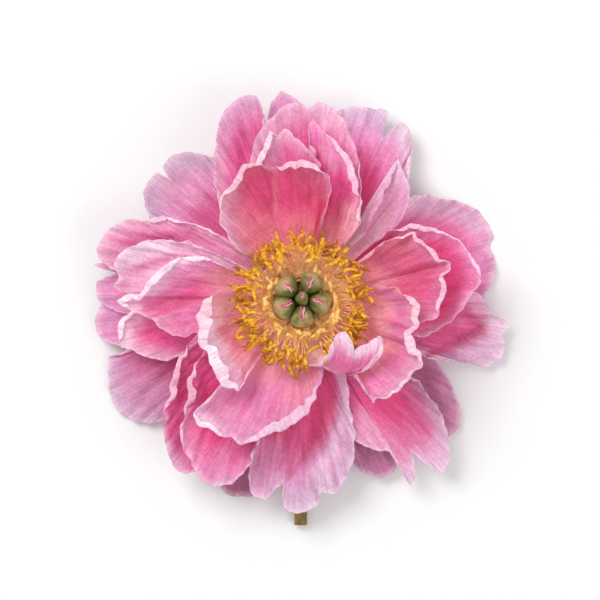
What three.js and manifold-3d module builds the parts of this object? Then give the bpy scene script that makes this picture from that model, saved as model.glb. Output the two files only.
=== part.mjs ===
// A cut peony bloom with golden stamens, lying on its back with its stem along the surface.
// Millimetres, +Z up. It is built round the bloom's axis, the line x = 0, y = 0, on the surface
// z = 0, and then moved so that the middle of its box stands over the origin.
// Each piece is one closed mesh.
import * as THREE from "three";
import { mergeVertices } from "three/addons/utils/BufferGeometryUtils.js";
import Module from "manifold-3d";

// Driving dimensions
const PETAL_THICKNESS = 0.7;
const PIECE_GAP = 0.6; // air kept between one petal and the next
const FLATTENED = 0.7; // a petal's underside that comes this close to the surface lies flat on it
const CLAW_RADIUS = 10; // where the narrow foot of each petal meets the receptacle
const CLAW_HALF_ANGLE = 17; // degrees of the receptacle that one petal's foot takes, each way
const FOLD_ANGLE = 150; // how far a folded rim rolls over, in degrees
const FULL_FOLD = 3; // the width in mm from which a rim folds all the way
const RECEPTACLE_RADIUS = 9.5;
const RECEPTACLE_BOTTOM = 13;
const RECEPTACLE_TOP = 29;
const STEM_RADIUS = 2.6;
const STEM_END = -91.6; // y of the cut end
const STEM_SWAY = -0.5; // how far the stem wanders from side to side
const NECK_BEND = 9.6; // radius of the bend between the stem and the receptacle
const CARPEL_LEAN = 0.14; // the carpels lean this much of their height towards +Y

const COLOURS = {
  mauve: 0xa8789a,
  lilac: 0xd8a0c4,
  pink: 0xd9609c,
  coral: 0xe07a94,
  leaf: 0x6f7a3a,
  stem: 0x7a6a38,
  stamen: 0xe6a81e,
  straw: 0xe8c878,
  carpel: 0x7c8248,
};

const degrees = (angle) => (angle * Math.PI) / 180;
const vector = (x, y, z) => new THREE.Vector3(x, y, z);

const wasm = await Module();
wasm.setup();

// The petals, from the back of the bloom to its front.
// bearing: the direction of the foot in degrees, 0 along +X and 90 along +Y.
// foot: its height; rise: the slopes in degrees at the foot and at the rim.
// bulge, in place of rise: how far out a petal reaches before it bends back over itself.
// rim: points clockwise round the edge, [x, y, z, width of the rolled rim].
const PETALS = [
  {
    name: "back_petal_bottom_left",
    colour: "mauve",
    bearing: -107,
    foot: 18,
    rise: [5, -12],
    rim: [
      [-12, -64, 9],
      [-14, -75, 6],
      [-20, -79.4, 5],
      [-25, -79.8, 4.5],
      [-30.8, -78.6, 4.5],
      [-33.4, -74.5, 6],
      [-36, -60, 10],
    ],
  },
  {
    name: "back_petal_bottom_right",
    colour: "mauve",
    bearing: -64,
    foot: 18,
    rise: [5, -12],
    rim: [
      [46, -54, 10],
      [42, -64, 8],
      [39, -67.6, 7],
      [35.4, -71, 6],
      [28.4, -71.4, 6],
      [23.2, -68.4, 6.5],
      [19, -63.6, 8],
      [15, -50, 11],
    ],
  },
  {
    name: "back_petal_lower_right",
    colour: "mauve",
    bearing: -38,
    foot: 18,
    rise: [5, -12],
    rim: [
      [46, -20, 13],
      [54.8, -25.6, 9.5],
      [57.4, -29.2, 8],
      [60.8, -35.2, 6.5],
      [62.8, -40.4, 5.5],
      [64.6, -46.8, 4.5],
      [64, -50.6, 4],
      [61.8, -54, 4],
      [57.6, -56.4, 5],
      [47, -55, 8],
    ],
  },
  {
    name: "guard_petal_upper_left",
    colour: "lilac",
    bearing: 138,
    foot: 18,
    rise: [6, 7],
    rim: [
      [-50, 16, 16],
      [-61, 30, 9],
      [-62.6, 37.6, 5],
      [-64.6, 41.2, 2.6],
      [-62.6, 48, 0.6],
      [-59.2, 51.8, 0],
      [-54, 49.2, 1],
      [-56.6, 53.6, 0],
      [-53.6, 58.2, 0],
      [-46, 60.2, 0.2],
      [-39.2, 58.6, 2],
      [-34.4, 56.8, 4],
      [-26, 44, 11],
    ],
  },
  {
    name: "back_petal_top",
    colour: "lilac",
    bearing: 94,
    foot: 18,
    rise: [6, -6],
    rim: [
      [-17, 50, 17],
      [-14, 71.6, 14],
      [-12.4, 79, 13],
      [-8.6, 83.8, 12],
      [-4.6, 82.6, 12.4],
      [-1, 79.6, 13],
      [5, 73, 15],
      [12, 56, 18],
    ],
  },
  {
    name: "guard_petal_top_right",
    colour: "lilac",
    bearing: 64,
    foot: 18.5,
    rise: [8, -10],
    rim: [
      [5, 56, 18],
      [13.2, 75.4, 12],
      [20, 78, 10],
      [27.4, 77.4, 9],
      [31.6, 77.4, 9],
      [35, 75.4, 9.4],
      [33.4, 69.8, 10],
      [32.2, 64.6, 11.4],
      [35.2, 67.8, 10],
      [40.8, 72.2, 8.6],
      [43.4, 69, 8.6, 1],
      [44.2, 63, 9.4, 3],
      [43.8, 55, 10.6, 3],
      [42.4, 47, 12.4, 0],
      [42, 36, 15],
    ],
  },
  {
    name: "guard_petal_lower_left",
    colour: "lilac",
    bearing: 207,
    foot: 18,
    rise: [6, -14],
    rim: [
      [-38, -38, 13],
      [-54.8, -48.6, 6],
      [-64.4, -49.6, 3.4],
      [-70.4, -48, 2.4],
      [-75.4, -44, 2],
      [-78.2, -37.6, 2],
      [-78.4, -30, 2.4],
      [-79, -24, 3],
      [-72.6, -21, 6],
      [-60, -11, 12],
    ],
  },
  {
    name: "back_petal_left_low",
    colour: "mauve",
    bearing: 190,
    foot: 18.5,
    rise: [6, -10],
    rim: [
      [-60, -16, 12],
      [-73.5, -18.4, 7],
      [-79, -17, 5],
      [-83, -13.6, 4],
      [-84, -10, 4],
      [-83, -5.6, 4],
      [-80.6, -1, 5],
      [-74, 2, 9],
      [-60, 5, 13],
    ],
  },
  {
    name: "back_petal_left",
    colour: "mauve",
    bearing: 174,
    foot: 18.5,
    rise: [6, -8],
    rim: [
      [-60, -6, 14],
      [-76, -4, 9],
      [-81.2, -1, 7],
      [-83.6, 3.6, 6],
      [-83.2, 7, 6],
      [-80, 8.8, 7],
      [-74.6, 10.8, 10],
      [-60, 13, 14],
    ],
  },
  {
    name: "back_petal_left_tip",
    colour: "lilac",
    bearing: 166,
    foot: 19,
    rise: [6, -8],
    rim: [
      [-58, 8, 15],
      [-75.2, 11.4, 10],
      [-80.8, 12.8, 8.6],
      [-84.2, 14.4, 8],
      [-79, 15.2, 9],
      [-74, 15.6, 10.6],
      [-58, 18, 15.6],
    ],
  },
  {
    name: "guard_petal_right",
    colour: "lilac",
    bearing: 20,
    foot: 18.5,
    rise: [8, 7],
    rim: [
      [35, 33, 17],
      [42.4, 41, 12],
      [52.8, 41.8, 8],
      [59.2, 40.4, 4.6],
      [66, 39, 1.6],
      [70.8, 37.2, 0],
      [73.4, 34, 0],
      [76.2, 30, 0],
      [77.4, 25.4, 0.4],
      [76.2, 22, 1.4],
      [78, 17, 1.4],
      [78.6, 13, 2],
      [76.8, 7, 3.6],
      [73.2, 0.4, 6],
      [58, -6, 12],
    ],
  },
  {
    name: "guard_petal_right_low",
    colour: "lilac",
    bearing: -14,
    foot: 19,
    rise: [10, -12],
    rim: [
      [58, 5, 15],
      [72, 2, 11],
      [78, -6.8, 9],
      [81.4, -8, 8.6],
      [84.4, -10.4, 8.6],
      [80.8, -13.6, 8],
      [81.8, -17, 7],
      [82.6, -20.4, 6],
      [79.4, -24.2, 5.4],
      [74.8, -27, 5],
      [69.2, -26, 5.6],
      [57.2, -24.2, 9],
      [42, -20, 15],
    ],
  },
  {
    name: "petal_upper_left",
    colour: "pink",
    bearing: 112,
    foot: 21,
    rise: [8, 4],
    rim: [
      [-30.6, 31, 24],
      [-34, 42.4, 23],
      [-35.2, 52, 22],
      [-34, 65.2, 21],
      [-33.2, 71, 20],
      [-28.4, 78.6, 19],
      [-23.6, 81.6, 18.6],
      [-18.8, 82, 18.6],
      [-16.6, 77.6, 19.4],
      [-15.2, 71, 20.6],
      [-8, 52, 24],
    ],
  },
  {
    name: "petal_left_upper",
    colour: "pink",
    bearing: 160,
    foot: 21,
    rise: [8, 2],
    rim: [
      [-56, 8, 19],
      [-76, 12.6, 16.4],
      [-81.4, 16.6, 15.4],
      [-82.4, 20, 15.4],
      [-79, 26.6, 16.6],
      [-74, 30.6, 17.6],
      [-68.4, 32.4, 19],
      [-62.4, 31.4, 20.4],
      [-59.6, 32.8, 21, 2],
      [-51.2, 32.4, 22.4, 3],
      [-43, 30, 24, 3],
      [-35, 27, 26, 2],
      [-27, 21.4, 27],
    ],
  },
  {
    name: "petal_left_low",
    colour: "pink",
    bearing: 197,
    foot: 21,
    rise: [8, 0],
    rim: [
      [-36, -20, 23],
      [-48.4, -22.8, 19.6],
      [-55.6, -24, 17.6],
      [-64.8, -22, 16],
      [-68.4, -20, 15.4],
      [-72.8, -18.8, 15],
      [-73.6, -14.6, 15, 2],
      [-74, -10.6, 15.6, 3],
      [-70.8, -6, 17, 3],
      [-66, -4.2, 18.6, 2],
      [-54, -4, 22],
    ],
  },
  {
    name: "petal_bottom_right",
    colour: "pink",
    bearing: -53,
    foot: 21,
    rise: [8, -4],
    rim: [
      [36, -22, 26],
      [43.6, -30.4, 22.4],
      [50.8, -38.6, 19],
      [55, -44.4, 17],
      [58.4, -53.2, 14.6],
      [59.2, -59, 13.4],
      [59.2, -65.4, 12.6],
      [56.4, -69.8, 12],
      [49.2, -65.6, 13],
      [44.4, -61.4, 14],
      [45.4, -71.4, 12.6],
      [44.2, -74.8, 12.4],
      [39.4, -67.4, 13.6],
      [36.6, -61.8, 15],
      [26.8, -59.4, 16.6],
      [20.6, -55.6, 18],
      [16, -40, 21],
    ],
  },
  {
    name: "petal_bottom",
    colour: "pink",
    bearing: -91,
    foot: 21.5,
    rise: [8, 0],
    rim: [
      [17, -26, 27],
      [19, -41, 24],
      [20.6, -50.4, 22],
      [21, -59.6, 20],
      [18.8, -69, 18],
      [15.6, -74.8, 17],
      [13, -78, 16.4],
      [7.4, -77, 16.8],
      [6.4, -82, 15.8],
      [-1.2, -85.8, 15],
      [-7.2, -84, 15.2],
      [-7.8, -73.4, 17.2],
      [-14.8, -79.8, 16.4],
      [-19.4, -79, 16.4],
      [-21.2, -74, 17.2],
      [-21, -67, 18.6],
      [-18, -44, 23],
    ],
  },
  {
    name: "petal_left_striped",
    colour: "lilac",
    bearing: 165,
    foot: 22.5,
    rise: [8, 2],
    rim: [
      [-54, 1, 22],
      [-72, 3.4, 20],
      [-76, 5.6, 20],
      [-73, 9, 20.4],
      [-75.2, 13.6, 20.4],
      [-74.6, 16.4, 20.6],
      [-70, 20.4, 21.6],
      [-63.2, 23.2, 23],
      [-57.2, 24, 24],
      [-51.2, 23.6, 25],
      [-45.2, 22.4, 26.4],
      [-36.8, 19.6, 28],
      [-28, 15, 29],
    ],
  },
  {
    name: "petal_top_wide",
    colour: "pink",
    bearing: 86,
    foot: 22.5,
    rise: [8, 8],
    rim: [
      [-17, 36, 29],
      [-20.2, 53, 27.4],
      [-18.6, 64, 25.6],
      [-14.8, 69.8, 24.6],
      [-10.4, 74.6, 23.6],
      [-4.8, 78.6, 23],
      [-1.4, 79, 23],
      [2.8, 76.2, 23.4],
      [6, 79.2, 23],
      [11.2, 77.2, 23.4],
      [15.2, 74, 24.4, 1],
      [17.2, 69.6, 26, 1.5],
      [20.2, 62.8, 28, 1.5],
      [22.4, 54.8, 30, 1.5],
      [23, 44.8, 31.6, 1],
      [22.4, 33, 32],
    ],
  },
  {
    name: "petal_top_right_narrow",
    colour: "lilac",
    bearing: 44,
    foot: 22.5,
    rise: [8, 14],
    rim: [
      [25, 25.6, 30, 1],
      [29.4, 34.8, 30, 3.5],
      [32.2, 40.8, 29, 4.5],
      [35.2, 46.6, 28, 4.5],
      [36.8, 51.6, 27, 3],
      [38, 56.4, 26, 0.5],
      [40.2, 51.4, 26],
      [42.6, 45.6, 25],
      [42.8, 39.6, 25],
      [38, 30, 26],
    ],
  },
  {
    name: "petal_lower_left_outer",
    colour: "pink",
    bearing: 232,
    foot: 22.5,
    rise: [8, 10],
    rim: [
      [-29, -52, 24],
      [-40, -66.4, 20.6],
      [-46.6, -69.8, 19],
      [-50.6, -67.6, 19],
      [-53.8, -60, 20],
      [-55.2, -52.6, 21.4],
      [-54.4, -48.4, 22.4, 1.5],
      [-55.4, -44.6, 23, 3],
      [-52.6, -38.8, 25, 3],
      [-52.4, -33.6, 26, 4],
      [-50.6, -28, 27, 4],
      [-47.4, -21.6, 28.4, 2.5],
      [-41, -13, 30],
    ],
  },
  {
    name: "cup_petal_left",
    colour: "coral",
    bearing: 177,
    foot: 24.8,
    rise: [6, 24],
    rim: [
      [-33, -10, 31],
      [-41.2, -12.6, 30],
      [-51.6, -14, 28],
      [-56.6, -10.8, 27.6],
      [-61, -7, 28],
      [-66, -4.4, 28],
      [-70.4, -3, 28, 2],
      [-73.6, 0, 28.4, 4],
      [-70, 2, 29.6, 4],
      [-65.2, 1.4, 31, 4],
      [-60.6, 7.6, 33, 4],
      [-55.8, 12.4, 34.4, 4],
      [-51.2, 15.6, 35.4, 3.5],
      [-46.4, 16.4, 36, 3.5],
      [-40.8, 17.6, 36.4, 3],
      [-33, 14, 36],
    ],
  },
  {
    name: "petal_lower_left",
    colour: "pink",
    bearing: 238,
    foot: 24,
    rise: [6, 12],
    rim: [
      [-15, -44, 28],
      [-20.8, -64.4, 24.4],
      [-26, -71.8, 23],
      [-33, -74.4, 22.4],
      [-39, -73, 22.4],
      [-42, -68.6, 23.4],
      [-45.2, -63, 24.4, 0.5],
      [-47.2, -58.4, 25.4, 2],
      [-48.6, -52, 26.6, 2.5],
      [-46.6, -46.2, 28, 3],
      [-45.6, -39, 30, 4.5],
      [-45, -32, 32, 4.5],
      [-42.6, -26.4, 34, 2.5],
      [-36, -17, 36],
    ],
  },
  {
    name: "petal_top_right",
    colour: "pink",
    bearing: 68,
    foot: 24,
    rise: [6, 20],
    rim: [
      [5, 44, 32],
      [6.6, 57.2, 32.6],
      [5, 62, 33],
      [2.6, 67.6, 33],
      [4.2, 71.2, 32.6],
      [8.4, 67, 33.4, 1.5],
      [14, 61.6, 34.6, 3.5],
      [18, 57, 36, 5],
      [20.4, 52, 37, 5.5],
      [22, 45.4, 38, 5.5],
      [22.8, 38, 38, 4.5],
      [23, 30, 37],
    ],
  },
  {
    name: "folded_petal_top",
    colour: "pink",
    bearing: 98,
    foot: 25,
    rise: [6, 20],
    rim: [
      [-19, 42, 34],
      [-19.8, 51, 34.6, 3],
      [-17.2, 56, 35, 5],
      [-14.8, 61.6, 35.4, 5],
      [-12.6, 67, 35.4, 2],
      [-9.8, 64.2, 35.4, 1.5],
      [-7.2, 67.6, 35.2],
      [-3.2, 65.4, 36],
      [0.8, 60.6, 37],
      [5.4, 56, 38],
      [8, 46, 38.6],
    ],
  },
  {
    name: "cup_petal_right_outer",
    colour: "coral",
    bearing: 12,
    foot: 24,
    rise: [4, 40],
    rim: [
      [28, 22, 32],
      [36, 27.4, 34],
      [45.6, 29.6, 35, 3],
      [51.2, 28.8, 35, 3.5],
      [57, 26, 35, 2.5],
      [62.6, 23.2, 34.6, 1.5],
      [65.8, 19, 34.4, 1.5],
      [68.6, 15.6, 34, 2],
      [70.8, 11.4, 33.4, 2],
      [70.8, 7.4, 33.2, 1],
      [67.2, 3.4, 33.4],
      [65.2, -0.6, 33.6, 1],
      [62.6, -4.4, 33.6, 1],
      [58, -8.8, 33.4, 1],
      [50, -13.4, 33],
      [38, -15, 32],
    ],
  },
  {
    name: "petal_bottom_inner",
    colour: "coral",
    bearing: -105,
    foot: 25.5,
    rise: [2, 34],
    rim: [
      [9, -23, 36],
      [7.2, -32, 38.4],
      [5.8, -36, 39.4, 1.5],
      [4.6, -39.8, 40, 3],
      [1.2, -44.8, 40.4, 4],
      [-3.2, -48.8, 40.4, 4.5],
      [-8, -51.2, 40, 4.5],
      [-13.6, -52.8, 39.4, 4.5],
      [-18, -55.2, 38.6, 4],
      [-25.4, -56.4, 37.6, 0.5],
      [-27.6, -54.4, 37.4],
      [-32.4, -53.8, 36.4, 1],
      [-35.6, -51, 36, 1.5],
      [-40.8, -49.8, 35, 2],
      [-42.8, -45.4, 34.6],
      [-36, -38.6, 36],
      [-29, -30, 37],
    ],
  },
  {
    name: "twisted_petal_left",
    colour: "coral",
    bearing: 207,
    foot: 26,
    rise: [2, 52],
    rim: [
      [-21, -28, 38],
      [-25.4, -36, 41, 1],
      [-29, -34.8, 42, 4],
      [-32, -32, 43, 6],
      [-35.2, -27.6, 44, 7],
      [-36.6, -22.8, 44.6, 6.5],
      [-38.6, -19.2, 45, 6],
      [-41, -15.4, 45.6, 7],
      [-40.2, -10, 46, 7],
      [-40.2, -4.4, 46, 6],
      [-38, -0.4, 46, 4],
      [-35.4, 1.8, 45.4, 1.5],
      [-29, 4, 43],
    ],
  },
  {
    name: "cup_petal_right_inner",
    colour: "coral",
    bearing: 14,
    foot: 26,
    rise: [2, 46],
    rim: [
      [27, 17, 38],
      [31.4, 21.6, 41, 0.5],
      [36.4, 25, 43, 1.5],
      [41.2, 25.2, 44, 1.5],
      [44, 26.2, 44.4, 2],
      [46.4, 23.6, 44.4, 2.5],
      [48, 21.4, 44.2, 2],
      [50.4, 21.2, 44.2, 3],
      [52.8, 18.4, 44, 3],
      [54.4, 15.4, 43.6, 1.5],
      [58.8, 15, 43],
      [58, 12, 43, 0.5],
      [55, 9.6, 43, 2],
      [56.4, 5.4, 43, 3.5],
      [55.4, 1, 43, 3.5],
      [54.6, -2.6, 43, 2.5],
      [52.6, -6.4, 42.6],
      [46.4, -9, 41],
      [36, -9, 39],
    ],
  },
  {
    name: "ruffled_petal_right",
    colour: "coral",
    bearing: -30,
    foot: 26.5,
    rise: [2, 50],
    rim: [
      [29, 6, 39],
      [40.6, 2.6, 45, 1],
      [45, -1.4, 46, 3.5],
      [46, -5.2, 46.6, 4],
      [45, -10, 46.8, 3.5],
      [43.2, -13.8, 46.8, 4],
      [44.4, -18.6, 46.6, 5],
      [47.4, -21.4, 46, 3],
      [46.8, -25, 45.4],
      [44, -28, 45, 1],
      [42, -31, 44.4, 2],
      [37.8, -35.4, 43.4, 2],
      [32.4, -38.4, 42.4, 1.5],
      [27.8, -40.4, 41.6],
      [24.8, -35, 40],
      [19, -24, 38],
    ],
  },
  {
    name: "cup_petal_top",
    colour: "coral",
    bearing: 99,
    foot: 26.5,
    rise: [2, 56],
    rim: [
      [-24, 19, 35],
      [-29.4, 26, 39.6],
      [-32.2, 33.4, 42.4, 1],
      [-31.4, 41, 44.6, 3],
      [-27.6, 44.8, 45.8, 3.5],
      [-24.8, 50.4, 46.8, 3.5],
      [-21.8, 53.2, 47, 3],
      [-15, 53.2, 46.4, 1.5],
      [-13.6, 51.8, 46],
      [-9.6, 52, 46.6, 3],
      [-4, 54.4, 47.2, 5],
      [0.4, 54.8, 47.2, 5],
      [4.8, 53.2, 47, 4],
      [7.2, 50.8, 46.6, 2],
      [10.4, 48.6, 46],
      [11.2, 45.4, 45],
      [9.6, 38, 42.6],
      [7.4, 30, 39],
    ],
  },
  {
    name: "petaloid",
    colour: "coral",
    bearing: -80,
    foot: 27.4,
    bulge: 36,
    rim: [
      [24, -25, 41],
      [28, -21, 43],
      [32, -15.6, 45],
      [30.6, -13.8, 45.6],
      [26, -17.4, 46],
      [22.6, -18.6, 46],
      [20.4, -20.4, 45.6],
      [19.2, -15.4, 48],
      [16.8, -12.8, 49.4],
      [13.4, -14.2, 48.8],
      [10.4, -21, 45.6],
      [7.6, -25.4, 42.6],
      [2.4, -26, 40],
    ],
  },
];

// How far along the body of a petal its rows of points lie, and how far round its rolled rim.
const BODY_ROWS = [0, 0.3, 0.58, 0.82, 1];
const ROLL_ROWS = [0.5, 1];
const HANDLE_SHARE = 0.38; // length of a ray's two curve handles, as a share of the ray
const PLAIN_ROLL = 0.6; // how far the rim runs on where a petal with a rolled rim is plain

// A point of the petal's body: from the foot at 0 to the rim at 1, along the ray that ends at end.
function bodyPoint(petal, ray, end, along) {
  const bearing = degrees(petal.bearing + (1 - 2 * ray) * CLAW_HALF_ANGLE);
  const foot = vector(
    CLAW_RADIUS * Math.cos(bearing),
    CLAW_RADIUS * Math.sin(bearing),
    petal.foot,
  );
  const [leave, arrive] = petal.bulge
    ? bulgeHandles(petal, foot, end)
    : slopeHandles(petal, foot, end);
  return new THREE.CubicBezierCurve3(foot, leave, arrive, end).getPoint(along);
}

// The curve's two handles for a ray that leaves and arrives at the petal's own slopes.
function slopeHandles(petal, foot, end) {
  const outward = vector(end.x - foot.x, end.y - foot.y, 0).normalize();
  const reach = HANDLE_SHARE * foot.distanceTo(end);
  const [leave, arrive] = petal.rise.map((slope) =>
    outward
      .clone()
      .multiplyScalar(Math.cos(degrees(slope)) * reach)
      .setZ(Math.sin(degrees(slope)) * reach),
  );
  return [foot.clone().add(leave), end.clone().sub(arrive)];
}

// The two handles for a ray that goes out to the petal's bulge and comes back over itself.
function bulgeHandles(petal, foot, end) {
  const bearing = degrees(petal.bearing);
  const outward = vector(Math.cos(bearing), Math.sin(bearing), 0);
  const leave = foot.clone().addScaledVector(outward, petal.bulge - CLAW_RADIUS);
  const back = petal.bulge - end.dot(outward);
  const arrive = end.clone().addScaledVector(outward, back);
  arrive.z -= 0.3 * (end.z - foot.z);
  return [leave, arrive];
}

// The middle surface of a petal: one column of points for each point of its rim.
function petalColumns(petal) {
  const ends = petal.rim.map(([x, y, z]) => vector(x, y, z));
  const last = ends.length - 1;
  const columns = ends.map((end, i) =>
    BODY_ROWS.map((along) => bodyPoint(petal, i / last, end, along)),
  );
  if (!petal.rim.some((point) => point[3])) return columns;
  const top = BODY_ROWS.length - 1;
  return columns.map((column, i) => {
    const before = columns[Math.max(i - 1, 0)];
    const after = columns[Math.min(i + 1, last)];
    const across = after[top - 1].clone().sub(before[top - 1]);
    const inward = column[top].clone().sub(column[top - 1]);
    const face = across.cross(inward).normalize();
    const alongRim = after[top].clone().sub(before[top]);
    const outward = face.clone().cross(alongRim).normalize();
    const width = petal.rim[i][3] ?? 0;
    const turn = degrees(FOLD_ANGLE) * Math.min(1, width / FULL_FOLD);
    const rolled = ROLL_ROWS.map((share) => {
      if (width < 0.1)
        return column[top].clone().addScaledVector(outward, PLAIN_ROLL * share);
      const radius = width / turn;
      return column[top]
        .clone()
        .addScaledVector(outward, radius * Math.sin(turn * share))
        .addScaledVector(face, radius * (1 - Math.cos(turn * share)));
    });
    return [...column, ...rolled];
  });
}

// The way that the middle surface faces at each of its points.
function columnNormals(columns) {
  return columns.map((column, i) =>
    column.map((point, j) => {
      const left = columns[Math.max(i - 1, 0)][j];
      const right = columns[Math.min(i + 1, columns.length - 1)][j];
      const below = column[Math.max(j - 1, 0)];
      const above = column[Math.min(j + 1, column.length - 1)];
      const across = right.clone().sub(left);
      return across.cross(above.clone().sub(below)).normalize();
    }),
  );
}

// A closed sheet round a middle surface. What comes down to the surface below lies flat on it.
function sheetGeometry(columns, thickness) {
  const normals = columnNormals(columns);
  const rows = columns[0].length;
  const positions = [];
  columns.forEach((column, i) =>
    column.forEach((point, j) => {
      const half = normals[i][j].clone().multiplyScalar(thickness / 2);
      const under = point.clone().sub(half);
      const over = point.clone().add(half);
      if (under.z < FLATTENED) {
        under.z = 0;
        over.z = Math.max(over.z, thickness);
      }
      positions.push(...over.toArray(), ...under.toArray());
    }),
  );
  const over = (i, j) => 2 * (i * rows + j);
  const under = (i, j) => over(i, j) + 1;
  const faces = [];
  const quad = (a, b, c, d) => faces.push(a, b, c, a, c, d);
  const lastColumn = columns.length - 1;
  for (let i = 0; i < lastColumn; i++) {
    for (let j = 0; j < rows - 1; j++) {
      quad(over(i, j), over(i + 1, j), over(i + 1, j + 1), over(i, j + 1));
      quad(under(i, j), under(i, j + 1), under(i + 1, j + 1), under(i + 1, j));
    }
    quad(over(i, 0), under(i, 0), under(i + 1, 0), over(i + 1, 0));
    const j = rows - 1;
    quad(over(i, j), over(i + 1, j), under(i + 1, j), under(i, j));
  }
  for (let j = 0; j < rows - 1; j++) {
    quad(over(0, j), over(0, j + 1), under(0, j + 1), under(0, j));
    const i = lastColumn;
    quad(over(i, j), under(i, j), under(i, j + 1), over(i, j + 1));
  }
  const geometry = new THREE.BufferGeometry();
  geometry.setAttribute(
    "position",
    new THREE.Float32BufferAttribute(positions, 3),
  );
  geometry.setIndex(faces);
  return geometry;
}

// The pile: over each small square of the surface, the height of what already lies there.
const PILE_STEP = 0.5; // side of a square
const PILE_HALF = 200; // squares from the axis to the edge of the pile
const PILE_SIDE = 2 * PILE_HALF + 1;
const pile = new Float32Array(PILE_SIDE * PILE_SIDE).fill(-1);

// Calls visit for each cell of the pile that the triangle a, b, c covers, with the triangle's
// height there and the shares that its three corners have in it.
function overCells(a, b, c, visit) {
  const area = (b.x - a.x) * (c.y - a.y) - (c.x - a.x) * (b.y - a.y);
  if (Math.abs(area) < 1e-9) return;
  const squares = (values) => values.map((value) => value / PILE_STEP);
  const xs = squares([a.x, b.x, c.x]);
  const ys = squares([a.y, b.y, c.y]);
  for (let i = Math.ceil(Math.min(...xs)); i <= Math.max(...xs); i++)
    for (let j = Math.ceil(Math.min(...ys)); j <= Math.max(...ys); j++) {
      const [x, y] = [i * PILE_STEP, j * PILE_STEP];
      const p = ((b.x - x) * (c.y - y) - (c.x - x) * (b.y - y)) / area;
      const q = ((c.x - x) * (a.y - y) - (a.x - x) * (c.y - y)) / area;
      const r = 1 - p - q;
      if (Math.min(p, q, r) < -0.01) continue;
      const cell = (j + PILE_HALF) * PILE_SIDE + i + PILE_HALF;
      visit(cell, p * a.z + q * b.z + r * c.z, [p, q, r]);
    }
}

// Calls visit for each triangle of a sheet, with the indices of its three corners.
function overTriangles(geometry, visit) {
  const place = geometry.getAttribute("position");
  const corners = geometry.getIndex().array;
  const at = (k) => vector(place.getX(k), place.getY(k), place.getZ(k));
  for (let i = 0; i < corners.length; i += 3) {
    const trio = [corners[i], corners[i + 1], corners[i + 2]];
    visit(trio.map(at), trio);
  }
}

// Lifts the columns of a sheet until it clears the pile everywhere, then adds it to the pile.
function layOnPile(columns, thickness) {
  const rows = columns[0].length;
  const top = Math.min(rows, BODY_ROWS.length) - 1;
  for (let pass = 0; pass < 30; pass++) {
    const lifts = columns.map((column) => column.map(() => 0));
    let most = 0;
    overTriangles(sheetGeometry(columns, thickness), (points, trio) =>
      overCells(...points, (cell, z, shares) => {
        const short = pile[cell] + PIECE_GAP - z;
        if (pile[cell] < 0 || short <= 0.02) return;
        most = Math.max(most, short);
        const total = shares.reduce((sum, share) => sum + share * share, 0);
        trio.forEach((corner, k) => {
          const i = Math.floor(corner / 2 / rows);
          const j = Math.min(Math.floor(corner / 2) % rows, top);
          lifts[i][j] = Math.max(lifts[i][j], (short * shares[k]) / total);
        });
      }),
    );
    if (!most) break;
    const spread = lifts.map((column, i) =>
      column.map((lift, j) => {
        const near = [
          lifts[Math.max(i - 1, 0)][j],
          lifts[Math.min(i + 1, columns.length - 1)][j],
          column[Math.max(j - 1, 0)],
          column[Math.min(j + 1, top)],
        ];
        return Math.max(lift, 0.5 * Math.max(...near));
      }),
    );
    columns.forEach((column, i) =>
      column.forEach((point, j) => (point.z += spread[i][Math.min(j, top)])),
    );
  }
  const geometry = sheetGeometry(columns, thickness);
  overTriangles(geometry, (points) =>
    overCells(...points, (cell, z) => (pile[cell] = Math.max(pile[cell], z))),
  );
  return geometry;
}

// A closed solid through rings of points, each ring the same count, from its foot to its tip.
function loftGeometry(rings) {
  const count = rings[0].length;
  const positions = rings.flatMap((ring) =>
    ring.flatMap((point) => point.toArray()),
  );
  const faces = [];
  for (let i = 0; i < rings.length - 1; i++)
    for (let k = 0; k < count; k++) {
      const next = (k + 1) % count;
      const [a, b] = [i * count + k, i * count + next];
      const [c, d] = [a + count, b + count];
      faces.push(a, b, d, a, d, c);
    }
  const lastRing = (rings.length - 1) * count;
  for (let k = 1; k < count - 1; k++) {
    faces.push(0, k + 1, k);
    faces.push(lastRing, lastRing + k, lastRing + k + 1);
  }
  const geometry = new THREE.BufferGeometry();
  geometry.setAttribute(
    "position",
    new THREE.Float32BufferAttribute(positions, 3),
  );
  geometry.setIndex(faces);
  return geometry;
}

// Rings along a path: at each step [centre, width, depth], with the width along side.
function ringsAlong(steps, side, sides) {
  return steps.map(([centre, width, depth], i) => {
    const before = steps[Math.max(i - 1, 0)][0];
    const after = steps[Math.min(i + 1, steps.length - 1)][0];
    const forward = after.clone().sub(before).normalize();
    const across = side
      .clone()
      .addScaledVector(forward, -side.dot(forward))
      .normalize();
    const depthwise = forward.clone().cross(across);
    return Array.from({ length: sides }, (_, k) => {
      const angle = ((k + 0.5) / sides) * 2 * Math.PI;
      return centre
        .clone()
        .addScaledVector(across, width * Math.cos(angle))
        .addScaledVector(depthwise, depth * Math.sin(angle));
    });
  });
}

function solidOf(geometry) {
  const merged = mergeVertices(geometry, 1e-4);
  return new wasm.Manifold(
    new wasm.Mesh({
      numProp: 3,
      vertProperties: merged.getAttribute("position").array,
      triVerts: new Uint32Array(merged.getIndex().array),
    }),
  );
}

function geometryOf(solid) {
  const made = solid.getMesh();
  const geometry = new THREE.BufferGeometry();
  geometry.setAttribute(
    "position",
    new THREE.BufferAttribute(made.vertProperties, 3),
  );
  geometry.setIndex(new THREE.BufferAttribute(made.triVerts, 1));
  return geometry;
}

function piece(name, geometry, colour, roughness = 0.7) {
  const mesh = new THREE.Mesh(
    geometry,
    new THREE.MeshStandardMaterial({
      color: COLOURS[colour],
      roughness,
      metalness: 0,
    }),
  );
  mesh.name = name;
  return mesh;
}

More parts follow.
